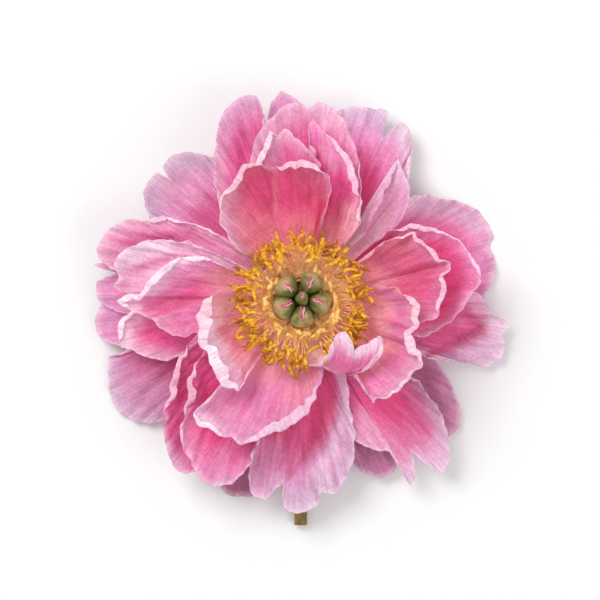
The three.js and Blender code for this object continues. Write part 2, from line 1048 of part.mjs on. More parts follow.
// The stem lies along the surface, turns up at the neck and swells into the receptacle.
function stemWithReceptacle() {
  const lying = STEM_RADIUS * Math.cos(Math.PI / 12);
  const steps = [];
  for (const y of [STEM_END, -68, -46, -26])
    steps.push([vector(STEM_SWAY * Math.sin(y / 20), y, lying), STEM_RADIUS]);
  const bendSteps = 5;
  for (let i = 0; i <= bendSteps; i++) {
    const angle = degrees((90 * i) / bendSteps);
    const y = NECK_BEND * (Math.sin(angle) - 1);
    const z = lying + NECK_BEND * (1 - Math.cos(angle));
    steps.push([vector(0, y, z), STEM_RADIUS]);
  }
  steps.push([vector(0, 0, RECEPTACLE_BOTTOM), 3.4]);
  steps.push([vector(0, 0, RECEPTACLE_BOTTOM + 2), 7.6]);
  steps.push([vector(0, 0, RECEPTACLE_BOTTOM + 4), RECEPTACLE_RADIUS]);
  steps.push([vector(0, 0, RECEPTACLE_TOP), RECEPTACLE_RADIUS]);
  const round = steps.map(([centre, radius]) => [centre, radius, radius]);
  return loftGeometry(ringsAlong(round, vector(1, 0, 0), 12));
}

// Five broad sepals that back the bloom, pointed and a little cupped.
function sepal(index) {
  const bearing = 60 + 72 * index;
  const length = 19 + 3 * (index % 2);
  const outline = [
    [-24, 0.72],
    [-17, 0.9],
    [-7, 0.98],
    [0, 1.08],
    [7, 0.98],
    [17, 0.9],
    [24, 0.72],
  ];
  const rim = outline.map(([turn, share]) => {
    const angle = degrees(bearing - turn);
    const reach = CLAW_RADIUS + length * share * 0.9;
    const droop = 2.6 - 2.2 * share;
    return [reach * Math.cos(angle), reach * Math.sin(angle), 13.4 + droop];
  });
  return { name: "sepal_" + (index + 1), bearing, foot: 15, rise: [-4, 8], rim };
}

const DISC_BOTTOM = RECEPTACLE_TOP + 0.4;
const DISC_TOP = DISC_BOTTOM + 2;
const STAMEN_RINGS = [
  { count: 24, reach: 28, height: 37.5, length: 6.2, turn: 0 },
  { count: 22, reach: 25.4, height: 39.5, length: 6, turn: 7 },
  { count: 20, reach: 23, height: 41.5, length: 5.6, turn: 3 },
  { count: 16, reach: 21.8, height: 42.6, length: 5.2, turn: 11 },
];
const KNEE_REACH = 15.5; // where the threads turn up
const PETALOID_BEARING = -80;
const PETALOID_CLAW = 20; // degrees each way round its foot in which no stamen stands
const PETALOID_SPREAD = 60; // degrees each way over which the stamens lean in to make room for it

// A short ring on top of the receptacle, which threads and straps grow from.
function footRing(inner, outer, top) {
  const profile = [
    [inner, DISC_BOTTOM],
    [outer, DISC_BOTTOM],
    [outer, top],
    [inner, top],
    [inner, DISC_BOTTOM],
  ].map(([x, y]) => new THREE.Vector2(x, y));
  const ring = new THREE.LatheGeometry(profile, 24);
  ring.deleteAttribute("normal");
  ring.deleteAttribute("uv");
  return ring.rotateX(Math.PI / 2);
}

// The directions outwards and sideways at a bearing.
function compass(bearing) {
  const angle = degrees(bearing);
  return {
    out: vector(Math.cos(angle), Math.sin(angle), 0),
    side: vector(-Math.sin(angle), Math.cos(angle), 0),
  };
}

// How many degrees a bearing lies from the middle of the petaloid.
function fromPetaloid(bearing) {
  return Math.abs(((bearing - PETALOID_BEARING + 540) % 360) - 180);
}

// One stamen: a thread that fans out from the disc and carries a long, twisted anther.
function stamen(bearing, reach, height, length, twist) {
  const { out, side } = compass(bearing);
  const crowded = Math.max(0, 1 - fromPetaloid(bearing) / PETALOID_SPREAD);
  const tipReach = reach - 5 * crowded;
  const foot = out.clone().multiplyScalar(9.1).setZ(DISC_TOP - 1.1);
  const knee = out.clone().multiplyScalar(KNEE_REACH).setZ(DISC_TOP + 1.4);
  const neck = out
    .clone()
    .multiplyScalar(tipReach - 0.5 * length)
    .setZ(height);
  const thread = new THREE.QuadraticBezierCurve3(foot, knee, neck);
  const tip = neck
    .clone()
    .addScaledVector(out, 0.8 * length)
    .addScaledVector(side, twist)
    .setZ(height + 0.45 * length);
  const belly = neck.clone().lerp(tip, 0.45).addScaledVector(side, -0.3 * twist);
  const steps = [
    [thread.getPoint(0), 0.45, 0.45],
    [thread.getPoint(0.25), 0.4, 0.4],
    [thread.getPoint(0.55), 0.4, 0.4],
    [neck, 0.42, 0.42],
    [belly, 0.95, 0.8],
    [tip, 0.35, 0.3],
  ];
  return loftGeometry(ringsAlong(steps, side, 3));
}

function stamens() {
  let solid = solidOf(footRing(8.7, 9.5, DISC_TOP - 0.6));
  let number = 0;
  for (const ring of STAMEN_RINGS)
    for (let i = 0; i < ring.count; i++) {
      number += 1;
      const sway = Math.sin(number * 2.4);
      const bearing = ring.turn + (360 * i) / ring.count + 2.5 * sway;
      if (fromPetaloid(bearing) < PETALOID_CLAW) continue;
      const reach = ring.reach + Math.cos(number * 1.7);
      const grown = stamen(bearing, reach, ring.height + sway, ring.length, 2 * sway);
      solid = solid.add(solidOf(grown));
    }
  return geometryOf(solid);
}

// The pale straps round the carpels.
function staminodes() {
  let solid = solidOf(footRing(7.5, 8.4, DISC_TOP));
  const count = 16;
  for (let i = 0; i < count; i++) {
    const bearing = (360 * i) / count + 4 * Math.sin(i * 1.9);
    if (fromPetaloid(bearing) < PETALOID_CLAW) continue;
    const { out, side } = compass(bearing);
    const at = (reach, z) => out.clone().multiplyScalar(reach).setZ(z);
    const tall = Math.sin(i * 2.7);
    const steps = [
      [at(7.8, DISC_TOP - 0.6), 0.8, 0.4],
      [at(11, 33.5), 0.9, 0.35],
      [at(12.9, 36.4), 1, 0.35],
      [at(13.9, 40.6 + tall), 1.1, 0.35],
      [at(15.2, 42.6 + tall), 0.5, 0.3],
    ];
    solid = solid.add(solidOf(loftGeometry(ringsAlong(steps, side, 4))));
  }
  return geometryOf(solid);
}

// Where the widest part of each carpel stands, and the way its crest runs, in degrees.
const CARPELS = [
  { name: "carpel_upper_left", x: -6.2, y: 4.6, crest: -40, size: 1 },
  { name: "carpel_upper_right", x: 3.8, y: 6.6, crest: 70, size: 1 },
  { name: "carpel_right", x: 7.6, y: -2, crest: -20, size: 1 },
  { name: "carpel_bottom", x: 0.2, y: -7.6, crest: 90, size: 1 },
  { name: "carpel_lower_left", x: -7.4, y: -3.6, crest: 25, size: 1 },
  { name: "carpel_middle", x: 0, y: 0, crest: 80, size: 0.52 },
];
const CARPEL_HEIGHT = 17;

// A carpel: a flask on a narrow foot that leans, narrows and ends in a flattened crest.
function carpel({ x, y, crest, size }) {
  const tall = CARPEL_HEIGHT + 3 * (1 - size);
  const at = (share, spread) =>
    vector(
      x * spread,
      y * spread + CARPEL_LEAN * tall * share * share,
      DISC_BOTTOM + tall * share,
    );
  const steps = [
    [at(0, 0.62), 1.7 * size, 1.7 * size],
    [at(0.12, 0.62), 1.8 * size, 1.8 * size],
    [at(0.28, 0.84), 3.2 * size, 3.2 * size],
    [at(0.45, 0.98), 4 * size, 4 * size],
    [at(0.64, 0.98), 3.9 * size, 3.9 * size],
    [at(0.8, 0.88), 2.7 * size, 2.6 * size],
    [at(0.9, 0.8), 2.2 * size, 1.1 * size],
    [at(1, 0.84), 2.4 * size, 0.6 * size],
  ];
  const side = vector(Math.cos(degrees(crest)), Math.sin(degrees(crest)), 0);
  return loftGeometry(ringsAlong(steps, side, 8));
}

const bloom = new THREE.Group();
bloom.name = "peony_bloom";
bloom.add(piece("stem_and_receptacle", stemWithReceptacle(), "stem", 0.6));
for (let i = 0; i < 5; i++) {
  const leaf = sepal(i);
  const geometry = layOnPile(petalColumns(leaf), 1);
  bloom.add(piece(leaf.name, geometry, "leaf", 0.6));
}
for (const petal of PETALS) {
  const geometry = layOnPile(petalColumns(petal), PETAL_THICKNESS);
  bloom.add(piece(petal.name, geometry, petal.colour));
}
bloom.add(piece("stamens", stamens(), "stamen"));
bloom.add(piece("staminodes", staminodes(), "straw"));
for (const one of CARPELS) bloom.add(piece(one.name, carpel(one), "carpel", 0.5));

const box = new THREE.Box3().setFromObject(bloom);
const middle = box.getCenter(vector(0, 0, 0));
bloom.position.set(-middle.x, -middle.y, -box.min.z);

export default bloom;
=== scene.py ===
# %% [markdown]
# # A cut peony, lying on its back
#
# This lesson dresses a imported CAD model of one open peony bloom. Its 46 solids stand for the
# petals, sepals, stem and centre, and each is replaced here by a finer piece of the same shape.
# A petal is hard to make by hand, because it is thin, waved and veined, so every petal grows from
# one recipe: a flat grid is laid along rays from the petal's foot to the points of its rim.

import math
import random

import bmesh
import bpy
import numpy as np
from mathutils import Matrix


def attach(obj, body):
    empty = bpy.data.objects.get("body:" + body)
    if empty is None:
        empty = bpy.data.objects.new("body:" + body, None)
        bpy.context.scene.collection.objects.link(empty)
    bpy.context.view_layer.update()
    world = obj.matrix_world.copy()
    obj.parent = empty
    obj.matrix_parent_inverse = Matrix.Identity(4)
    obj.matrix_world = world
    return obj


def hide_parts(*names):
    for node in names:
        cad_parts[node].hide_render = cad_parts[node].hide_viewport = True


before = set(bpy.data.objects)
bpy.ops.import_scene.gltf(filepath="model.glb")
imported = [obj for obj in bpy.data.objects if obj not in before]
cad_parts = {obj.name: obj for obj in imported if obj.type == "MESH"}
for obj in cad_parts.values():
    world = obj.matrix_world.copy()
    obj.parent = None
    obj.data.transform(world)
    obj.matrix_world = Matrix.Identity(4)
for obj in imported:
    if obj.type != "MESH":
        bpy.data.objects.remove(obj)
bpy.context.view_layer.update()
MM = 0.001  # the shapes are worked out in millimetres, and Blender works in metres
AXIS = np.array([-0.097, 3.897, 0.0])  # where the bloom's own axis stands in the CAD frame, in mm

# %% [markdown]
# ## The camera
#
# The photograph looks straight down into the bloom, so the camera hangs above it. A long lens
# keeps the outer petals as wide as the photograph shows them: 240 mm fills the picture's side,
# which is 600 pixels, so a pixel is 0.4 mm. The bloom's axis is at pixel (302, 300).

# %% The camera
PIXEL = 0.4  # mm
PICTURE_PIXELS = 600
AXIS_PIXEL = (302, 300)
CAMERA_DISTANCE = 1200  # mm above the middle of the bloom
BLOOM_MIDDLE = 25  # mm above the surface


def pixel(column, row):
    """The place in the bloom, in mm from its axis, that the photograph shows at this pixel."""
    return ((column - AXIS_PIXEL[0]) * PIXEL, (AXIS_PIXEL[1] - row) * PIXEL)


def hang_camera():
    lens = bpy.data.cameras.new("camera")
    lens.angle = 2 * math.atan(PICTURE_PIXELS * PIXEL / 2 / CAMERA_DISTANCE)
    camera = bpy.data.objects.new("camera", lens)
    x, y = pixel(PICTURE_PIXELS / 2, PICTURE_PIXELS / 2)
    camera.location = ((x + AXIS[0]) * MM, (y + AXIS[1]) * MM,
                       (BLOOM_MIDDLE + CAMERA_DISTANCE) * MM)
    bpy.context.scene.collection.objects.link(camera)
    bpy.context.scene.camera = camera
    return camera


camera = hang_camera()
print("camera at", tuple(camera.location), "seeing", round(math.degrees(camera.data.angle), 2),
      "degrees")

# %% [markdown]
# ## Light
#
# The photograph is a cut-out on white with soft light from all round and a little more from
# above. A white world gives the soft part. One large lamp high on the upper left models the
# petals, and a weaker one on the right keeps their shadows pink.

# %% Light
WORLD_STRENGTH = 0.58
KEY = dict(place=(-0.55, 0.6, 1.1), side=0.7, power=10.0)  # in metres and watts
FILL = dict(place=(0.8, -0.5, 0.8), side=0.9, power=4.0)

scene = bpy.context.scene
scene.view_settings.view_transform = "Standard"


def soft_lamp(name, place, side, power):
    """A square lamp that faces the middle of the bloom."""
    light = bpy.data.lights.new(name, "AREA")
    light.size = side
    light.energy = power
    lamp = bpy.data.objects.new(name, light)
    lamp.location = place
    lamp.rotation_euler = lamp.location.to_track_quat("Z", "Y").to_euler()
    scene.collection.objects.link(lamp)


scene.world = bpy.data.worlds.new("studio")
scene.world.use_nodes = True
scene.world.node_tree.nodes["Background"].inputs["Color"].default_value = (1, 1, 1, 1)
scene.world.node_tree.nodes["Background"].inputs["Strength"].default_value = WORLD_STRENGTH
soft_lamp("key", **KEY)
soft_lamp("fill", **FILL)

# %% [markdown]
# ## Floor
#
# The bloom lies on something, so that it casts a shadow.

# %% Floor
FLOOR_SIDE = 3.0  # metres
FLOOR_DROP = 0.0003  # the floor lies this far under the lowest petal, in metres
FLOOR_TONE = (0.93, 0.93, 0.93, 1)
FLOOR_ROUGHNESS = 0.9


def pale_floor():
    bm = bmesh.new()
    bmesh.ops.create_grid(bm, x_segments=1, y_segments=1, size=FLOOR_SIDE / 2)
    bmesh.ops.translate(bm, verts=bm.verts, vec=(0, 0, -FLOOR_DROP))
    mesh = bpy.data.meshes.new("floor")
    bm.to_mesh(mesh)
    bm.free()
    floor = bpy.data.objects.new("floor", mesh)
    scene.collection.objects.link(floor)
    paint = bpy.data.materials.new("floor")
    paint.use_nodes = True
    paint.node_tree.nodes["Principled BSDF"].inputs["Base Color"].default_value = FLOOR_TONE
    paint.node_tree.nodes["Principled BSDF"].inputs["Roughness"].default_value = FLOOR_ROUGHNESS
    mesh.materials.append(paint)
    return floor


floor = pale_floor()
print("floor:", tuple(floor.dimensions))

# %% [markdown]
# ## Tones
#
# A peony petal has no single colour. It runs from peach at its foot through crimson or magenta
# to lilac at its rim, and its underside is nearly white. The tones are named once here, and
# every petal says which of them it runs through. Shaders want linear light, so they are
# converted.

# %% Tones
def linear(red, green, blue):
    """A colour given as a screen shows it, 0 to 255, in the linear light that shaders use."""
    screen = np.array([red, green, blue]) / 255
    return np.where(screen <= 0.04045, screen / 12.92, ((screen + 0.055) / 1.055) ** 2.4)


# Some tones are partly painted light: peach, coral and shell at the petals' feet, and hot, pale and
# cream, are lighter than the petals' own colours to lift the shade on deep and steep parts.
TONES = {
    "peach": linear(240, 178, 154),
    "coral": linear(232, 130, 150),
    "shell": linear(236, 158, 170),
    "ruby": linear(216, 76, 118),
    "crimson": linear(226, 80, 136),
    "wine": linear(190, 68, 108),
    "berry": linear(200, 86, 136),
    "magenta": linear(218, 96, 152),
    "pink": linear(224, 130, 174),
    "candy": linear(238, 150, 200),
    "orchid": linear(218, 150, 190),
    "rose": linear(230, 166, 194),
    "lilac": linear(226, 188, 214),
    "pale": linear(244, 208, 226),
    "grey_lilac": linear(206, 176, 200),
    "mauve": linear(190, 122, 158),
    # Painted shade: the dark mauve of the petals at the bottom of the pile.
    "dusk": linear(170, 98, 130),
    "blush": linear(250, 232, 240),
    "cream": linear(255, 214, 206),
    "hot": linear(244, 112, 180),
    "blossom": linear(226, 142, 186),
    "flush": linear(214, 106, 138),
}
print("tones:", len(TONES))

# %% [markdown]
# ## The petals
#
# Each petal is described by what a maker would measure: the bearing and height of its foot, how
# steeply it leaves the receptacle and arrives at its rim, and points clockwise round the rim,
# in mm from the bloom's axis. A fourth number gives the width of the strip, where the rim is
# folded over and shows its pale underside. They are the points that the CAD solids use, except
# that the lobe of petal_top_right starts up to 1.4 mm further left here, to clear a neighbour.
#
# Then comes its look. `tones` are the colours a third of the way up, half way, high up and at
# the rim, and `left` and `right` say so for its sides, as seen from its foot. `strokes` are
# touches of another tone, as a painter would lay them: a tone, how wide, how strong, and the
# points that the stroke runs through. `creases` are bent into the surface itself: a width, a
# height, and their points. `rolls` are points of a folded rim, each with its strip's width, and
# `ruffle` is how high the rim's waves are. These points are given by the pixel of the photograph
# where they show, and widths and heights are in mm.
#
# The bloom is a pile, so the petals are listed in the order in which they lie. The lowest ones
# are broad and thin, mauve or lilac, and some of them touch the surface. The three at the bottom
# are painted darker, wine and dark mauve, as shade from the petals that lie over them.

# %% The back petals
PETALS = []


def petal(name, family, **measures):
    PETALS.append(dict(name=name, family=family, **measures))


petal("back_petal_bottom_left", "mauve", bearing=-107, foot=18, rise=(5, -12), rim=[
    (-12, -64, 9), (-14, -75, 6), (-20, -79.4, 5), (-25, -79.8, 4.5), (-30.8, -78.6, 4.5),
    (-33.4, -74.5, 6), (-36, -60, 10)],
    tones="wine dusk dusk dusk")
petal("back_petal_bottom_right", "mauve", bearing=-64, foot=18, rise=(5, -12), rim=[
    (46, -54, 10), (42, -64, 8), (39, -67.6, 7), (35.4, -71, 6), (28.4, -71.4, 6),
    (23.2, -68.4, 6.5), (19, -63.6, 8), (15, -50, 11)],
    tones="wine dusk dusk mauve")
petal("back_petal_lower_right", "mauve", bearing=-38, foot=18, rise=(5, -12), rim=[
    (46, -20, 13), (54.8, -25.6, 9.5), (57.4, -29.2, 8), (60.8, -35.2, 6.5),
    (62.8, -40.4, 5.5), (64.6, -46.8, 4.5), (64, -50.6, 4), (61.8, -54, 4), (57.6, -56.4, 5),
    (47, -55, 8)],
    tones="wine dusk dusk mauve",
    strokes=[("rose", 2.4, 0.5, (446, 390), (462, 420), (452, 438))])
petal("guard_petal_upper_left", "lilac", bearing=138, foot=18, rise=(6, 7), rim=[
    (-50, 16, 16), (-61, 30, 9), (-62.6, 37.6, 5), (-64.6, 41.2, 2.6), (-62.6, 48, 0.6),
    (-59.2, 51.8, 0), (-54, 49.2, 1), (-56.6, 53.6, 0), (-53.6, 58.2, 0), (-46, 60.2, 0.2),
    (-39.2, 58.6, 2), (-34.4, 56.8, 4), (-26, 44, 11)],
    tones="berry berry orchid grey_lilac", ruffle=1.0,
    strokes=[("berry", 5, 0.8, (202, 210), (215, 228)), ("rose", 5, 0.6, (165, 185), (190, 195)),
             ("mauve", 2.4, 0.6, (162, 172), (180, 178))],
    creases=[(3, -0.9, (160, 170), (185, 195)), (3, 0.8, (180, 160), (195, 190))])
petal("back_petal_top", "lilac", bearing=94, foot=18, rise=(6, -6), rim=[
    (-17, 50, 17), (-14, 71.6, 14), (-12.4, 79, 13), (-8.6, 83.8, 12), (-4.6, 82.6, 12.4),
    (-1, 79.6, 13), (5, 73, 15), (12, 56, 18)],
    tones="pink pink orchid orchid")
petal("guard_petal_top_right", "lilac", bearing=64, foot=18.5, rise=(8, -10), rim=[
    (5, 56, 18), (13.2, 75.4, 12), (20, 78, 10), (27.4, 77.4, 9), (31.6, 77.4, 9),
    (35, 75.4, 9.4), (33.4, 69.8, 10), (32.2, 64.6, 11.4), (35.2, 67.8, 10),
    (40.8, 72.2, 8.6), (43.4, 69, 8.6, 1), (44.2, 63, 9.4, 3), (43.8, 55, 10.6, 3),
    (42.4, 47, 12.4, 0), (42, 36, 15)],
    tones="berry crimson candy grey_lilac", left="berry crimson candy lilac",
    right="berry magenta pink mauve", ruffle=1.0,
    strokes=[("crimson", 5, 0.8, (364, 158), (370, 192)),
             ("pink", 3, 0.5, (392, 150), (398, 185)), ("blush", 2, 0.6, (404, 130), (410, 170))],
    creases=[(2.4, -0.8, (382, 135), (378, 190)), (3, 0.8, (365, 110), (362, 150))],
    rolls=[(411, 142, 0.4), (410, 152, 1.8), (408, 164, 2.2), (405, 178, 1.2), (404, 186, 0.2)])
petal("guard_petal_lower_left", "lilac", bearing=207, foot=18, rise=(6, -14), rim=[
    (-38, -38, 13), (-54.8, -48.6, 6), (-64.4, -49.6, 3.4), (-70.4, -48, 2.4),
    (-75.4, -44, 2), (-78.2, -37.6, 2), (-78.4, -30, 2.4), (-79, -24, 3), (-72.6, -21, 6),
    (-60, -11, 12)],
    tones="wine wine mauve orchid", left="wine berry mauve mauve", right="wine wine berry orchid",
    ruffle=1.0,
    strokes=[("berry", 6, 0.8, (140, 365), (175, 358)),
             ("orchid", 5, 0.6, (135, 385), (165, 400)),
             ("grey_lilac", 3, 0.9, (108, 360), (108, 385), (122, 412), (150, 420))],
    creases=[(3, 1.0, (125, 375), (160, 365)), (3, -0.8, (130, 400), (165, 380))])
petal("back_petal_left_low", "mauve", bearing=190, foot=18.5, rise=(6, -10), rim=[
    (-60, -16, 12), (-73.5, -18.4, 7), (-79, -17, 5), (-83, -13.6, 4), (-84, -10, 4),
    (-83, -5.6, 4), (-80.6, -1, 5), (-74, 2, 9), (-60, 5, 13)],
    tones="pink pink pink orchid")
petal("back_petal_left", "mauve", bearing=174, foot=18.5, rise=(6, -8), rim=[
    (-60, -6, 14), (-76, -4, 9), (-81.2, -1, 7), (-83.6, 3.6, 6), (-83.2, 7, 6),
    (-80, 8.8, 7), (-74.6, 10.8, 10), (-60, 13, 14)],
    tones="pink pink pink orchid")
petal("back_petal_left_tip", "lilac", bearing=166, foot=19, rise=(6, -8), rim=[
    (-58, 8, 15), (-75.2, 11.4, 10), (-80.8, 12.8, 8.6), (-84.2, 14.4, 8), (-79, 15.2, 9),
    (-74, 15.6, 10.6), (-58, 18, 15.6)],
    tones="pink pink mauve orchid", ruffle=0.4)
petal("guard_petal_right", "lilac", bearing=20, foot=18.5, rise=(8, 7), rim=[
    (35, 33, 17), (42.4, 41, 12), (52.8, 41.8, 8), (59.2, 40.4, 4.6), (66, 39, 1.6),
    (70.8, 37.2, 0), (73.4, 34, 0), (76.2, 30, 0), (77.4, 25.4, 0.4), (76.2, 22, 1.4),
    (78, 17, 1.4), (78.6, 13, 2), (76.8, 7, 3.6), (73.2, 0.4, 6), (58, -6, 12)],
    tones="berry magenta pink orchid", left="berry pink lilac pale", ruffle=1.1,
    strokes=[("magenta", 4, 0.8, (394, 222), (425, 222), (455, 235), (470, 246)),
             ("grey_lilac", 4, 0.7, (425, 206), (460, 208), (480, 224)),
             ("magenta", 3, 0.5, (470, 262), (484, 290))],
    creases=[(2, 1.1, (452, 223), (477, 207)), (2.2, -0.9, (440, 218), (458, 203)),
             (2, 0.9, (465, 245), (492, 236)), (2, -0.9, (470, 262), (494, 262)),
             (1.3, -1.1, (458, 238), (470, 230), (477, 220)),
             (1.3, 0.9, (464, 252), (480, 246), (492, 244)), (1.3, -0.9, (472, 274), (490, 272)),
             (1.3, 0.9, (474, 284), (490, 286)), (1.3, -0.8, (470, 296), (486, 300))])
petal("guard_petal_right_low", "lilac", bearing=-14, foot=19, rise=(10, -12), rim=[
    (58, 5, 15), (72, 2, 11), (78, -6.8, 9), (81.4, -8, 8.6), (84.4, -10.4, 8.6),
    (80.8, -13.6, 8), (81.8, -17, 7), (82.6, -20.4, 6), (79.4, -24.2, 5.4), (74.8, -27, 5),
    (69.2, -26, 5.6), (57.2, -24.2, 9), (42, -20, 15)],
    tones="berry berry magenta lilac", left="wine berry magenta rose",
    right="berry magenta rose lilac", ruffle=1.1,
    # The crimson and wine strokes are painted shade above and along its sharp fold, and the lilac
    # stroke is painted light on the flap below it.
    strokes=[("crimson", 4, 0.5, (440, 340), (475, 325)),
             ("lilac", 4.6, 0.9, (504, 340), (480, 350), (454, 363), (430, 369)),
             ("wine", 1.6, 0.9, (484, 329), (462, 341), (438, 352), (416, 361)),
             ("wine", 2.0, 0.6, (467, 312), (476, 319), (484, 328)),
             ("pink", 1.8, 0.6, (456, 314), (466, 323)),
             ("blush", 3, 0.7, (495, 322), (510, 328))],
    creases=[(2.2, -1.1, (484, 325), (420, 362)), (2.4, 0.9, (470, 345), (500, 352))])
print("back petals:", len(PETALS))

# %% [markdown]
# On them lie the pink petals of the middle. They are cupped a little and deepest pink low down,
# and many of them have a rim that is folded over.

# %% The middle petals
petal("petal_upper_left", "pink", bearing=112, foot=21, rise=(8, 4), rim=[
    (-30.6, 31, 24), (-34, 42.4, 23), (-35.2, 52, 22), (-34, 65.2, 21), (-33.2, 71, 20),
    (-28.4, 78.6, 19), (-23.6, 81.6, 18.6), (-18.8, 82, 18.6), (-16.6, 77.6, 19.4),
    (-15.2, 71, 20.6), (-8, 52, 24)],
    tones="magenta magenta magenta orchid", left="magenta magenta pink rose",
    right="magenta magenta magenta rose",
    strokes=[("magenta", 4, 0.7, (262, 160), (250, 212)),
             ("rose", 2, 0.7, (219, 190), (220, 140)),
             ("grey_lilac", 3, 0.4, (235, 101), (255, 98))],
    creases=[(3, 0.9, (232, 110), (238, 200)), (3, -0.9, (246, 110), (248, 200))])
petal("petal_left_upper", "pink", bearing=160, foot=21, rise=(8, 2), rim=[
    (-56, 8, 19), (-76, 12.6, 16.4), (-81.4, 16.6, 15.4), (-82.4, 20, 15.4),
    (-79, 26.6, 16.6), (-74, 30.6, 17.6), (-68.4, 32.4, 19), (-62.4, 31.4, 20.4),
    (-59.6, 32.8, 21, 2), (-51.2, 32.4, 22.4, 3), (-43, 30, 24, 3), (-35, 27, 26, 2),
    (-27, 21.4, 27)],
    tones="pink candy pink rose", left="pink pink pink rose", right="rose rose rose rose",
    strokes=[("rose", 2.4, 0.7, (103, 240), (120, 224), (150, 222)),
             ("magenta", 4, 0.5, (125, 240), (190, 238))],
    creases=[(3, -0.9, (120, 250), (170, 240)), (3, 0.9, (125, 235), (180, 232))],
    rolls=[(146, 220, 0.6), (152, 218, 2.4), (160, 219, 2.6), (168, 220, 1.4), (180, 222, 0.8),
           (195, 226, 0.9), (210, 233, 0.7), (228, 242, 0.2)])
petal("petal_left_low", "pink", bearing=197, foot=21, rise=(8, 0), rim=[
    (-36, -20, 23), (-48.4, -22.8, 19.6), (-55.6, -24, 17.6), (-64.8, -22, 16),
    (-68.4, -20, 15.4), (-72.8, -18.8, 15), (-73.6, -14.6, 15, 2), (-74, -10.6, 15.6, 3),
    (-70.8, -6, 17, 3), (-66, -4.2, 18.6, 2), (-54, -4, 22)],
    tones="magenta hot magenta rose", left="magenta pink pink rose", right="crimson hot candy pale",
    strokes=[("crimson", 4, 0.6, (145, 335), (175, 332)),
             ("blush", 3, 0.7, (120, 322), (124, 342))],
    creases=[(3, -0.8, (130, 330), (170, 330)), (3, 0.8, (135, 345), (170, 346))],
    rolls=[(140, 308, 0.3), (131, 311, 1.4), (124, 317, 2), (119, 326, 2.4), (118, 336, 1.6),
           (119, 344, 0.4)])
petal("petal_bottom_right", "pink", bearing=-53, foot=21, rise=(8, -4), rim=[
    (36, -22, 26), (43.6, -30.4, 22.4), (50.8, -38.6, 19), (55, -44.4, 17),
    (58.4, -53.2, 14.6), (59.2, -59, 13.4), (59.2, -65.4, 12.6), (56.4, -69.8, 12),
    (49.2, -65.6, 13), (44.4, -61.4, 14), (45.4, -71.4, 12.6), (44.2, -74.8, 12.4),
    (39.4, -67.4, 13.6), (36.6, -61.8, 15), (26.8, -59.4, 16.6), (20.6, -55.6, 18),
    (16, -40, 21)],
    tones="berry crimson pink lilac", left="berry wine berry mauve", right="berry berry pink rose",
    ruffle=1.0,
    strokes=[("crimson", 2.6, 0.6, (398, 398), (430, 432)),
             ("crimson", 2, 0.5, (380, 405), (412, 445)),
             ("rose", 4, 0.8, (365, 420), (385, 445)),
             ("lilac", 2.4, 0.7, (448, 435), (440, 470))],
    creases=[(2, -1.0, (395, 395), (430, 440)), (2.2, 1.0, (380, 395), (410, 445)),
             (2, -0.9, (368, 405), (400, 455)), (2, 0.9, (410, 400), (445, 455))])
petal("petal_bottom", "pink", bearing=-91, foot=21.5, rise=(8, 0), rim=[
    (17, -26, 27), (19, -41, 24), (20.6, -50.4, 22), (21, -59.6, 20), (18.8, -69, 18),
    (15.6, -74.8, 17), (13, -78, 16.4), (7.4, -77, 16.8), (6.4, -82, 15.8), (-1.2, -85.8, 15),
    (-7.2, -84, 15.2), (-7.8, -73.4, 17.2), (-14.8, -79.8, 16.4), (-19.4, -79, 16.4),
    (-21.2, -74, 17.2), (-21, -67, 18.6), (-18, -44, 23)],
    tones="wine ruby orchid grey_lilac", left="wine magenta lilac lilac",
    right="wine berry pink orchid", ruffle=1.0,
    strokes=[("crimson", 6, 0.8, (320, 395), (308, 435)),
             ("magenta", 4, 0.7, (300, 430), (288, 465)),
             ("lilac", 4, 0.9, (347, 410), (342, 430), (334, 452), (322, 475)),
             ("mauve", 3, 0.6, (262, 455), (260, 485)),
             ("wine", 0.9, 0.6, (304, 414), (298, 440), (288, 478)),
             ("wine", 1.0, 0.6, (324, 408), (318, 436), (306, 456), (291, 476)),
             ("berry", 0.8, 0.5, (296, 446), (278, 470)),
             ("pale", 1.8, 0.6, (333, 452), (320, 466), (310, 477)),
             ("grey_lilac", 3, 0.8, (298, 508), (316, 496))],
    creases=[(1.8, 1.2, (347, 404), (336, 430), (326, 451), (309, 466)),
             (2.4, -1.0, (318, 400), (300, 460)), (2.4, 0.9, (300, 420), (280, 470)),
             (2.4, -0.9, (290, 430), (262, 480))])
petal("petal_left_striped", "lilac", bearing=165, foot=22.5, rise=(8, 2), rim=[
    (-54, 1, 22), (-72, 3.4, 20), (-76, 5.6, 20), (-73, 9, 20.4), (-75.2, 13.6, 20.4),
    (-74.6, 16.4, 20.6), (-70, 20.4, 21.6), (-63.2, 23.2, 23), (-57.2, 24, 24),
    (-51.2, 23.6, 25), (-45.2, 22.4, 26.4), (-36.8, 19.6, 28), (-28, 15, 29)],
    tones="rose pale pale lilac", left="rose rose rose rose", right="rose pale pale rose",
    ruffle=1.0,
    # The blush stroke along its upper rim is a painted highlight.
    strokes=[("blush", 2, 0.7, (120, 252), (140, 246), (165, 243)),
             ("pink", 3, 0.6, (122, 282), (150, 266), (190, 258)),
             ("pink", 1.6, 0.5, (130, 272), (165, 256))],
    creases=[(2, 0.9, (125, 268), (170, 252)), (2, -0.9, (120, 278), (170, 262)),
             (2, 0.8, (135, 285), (175, 268))])
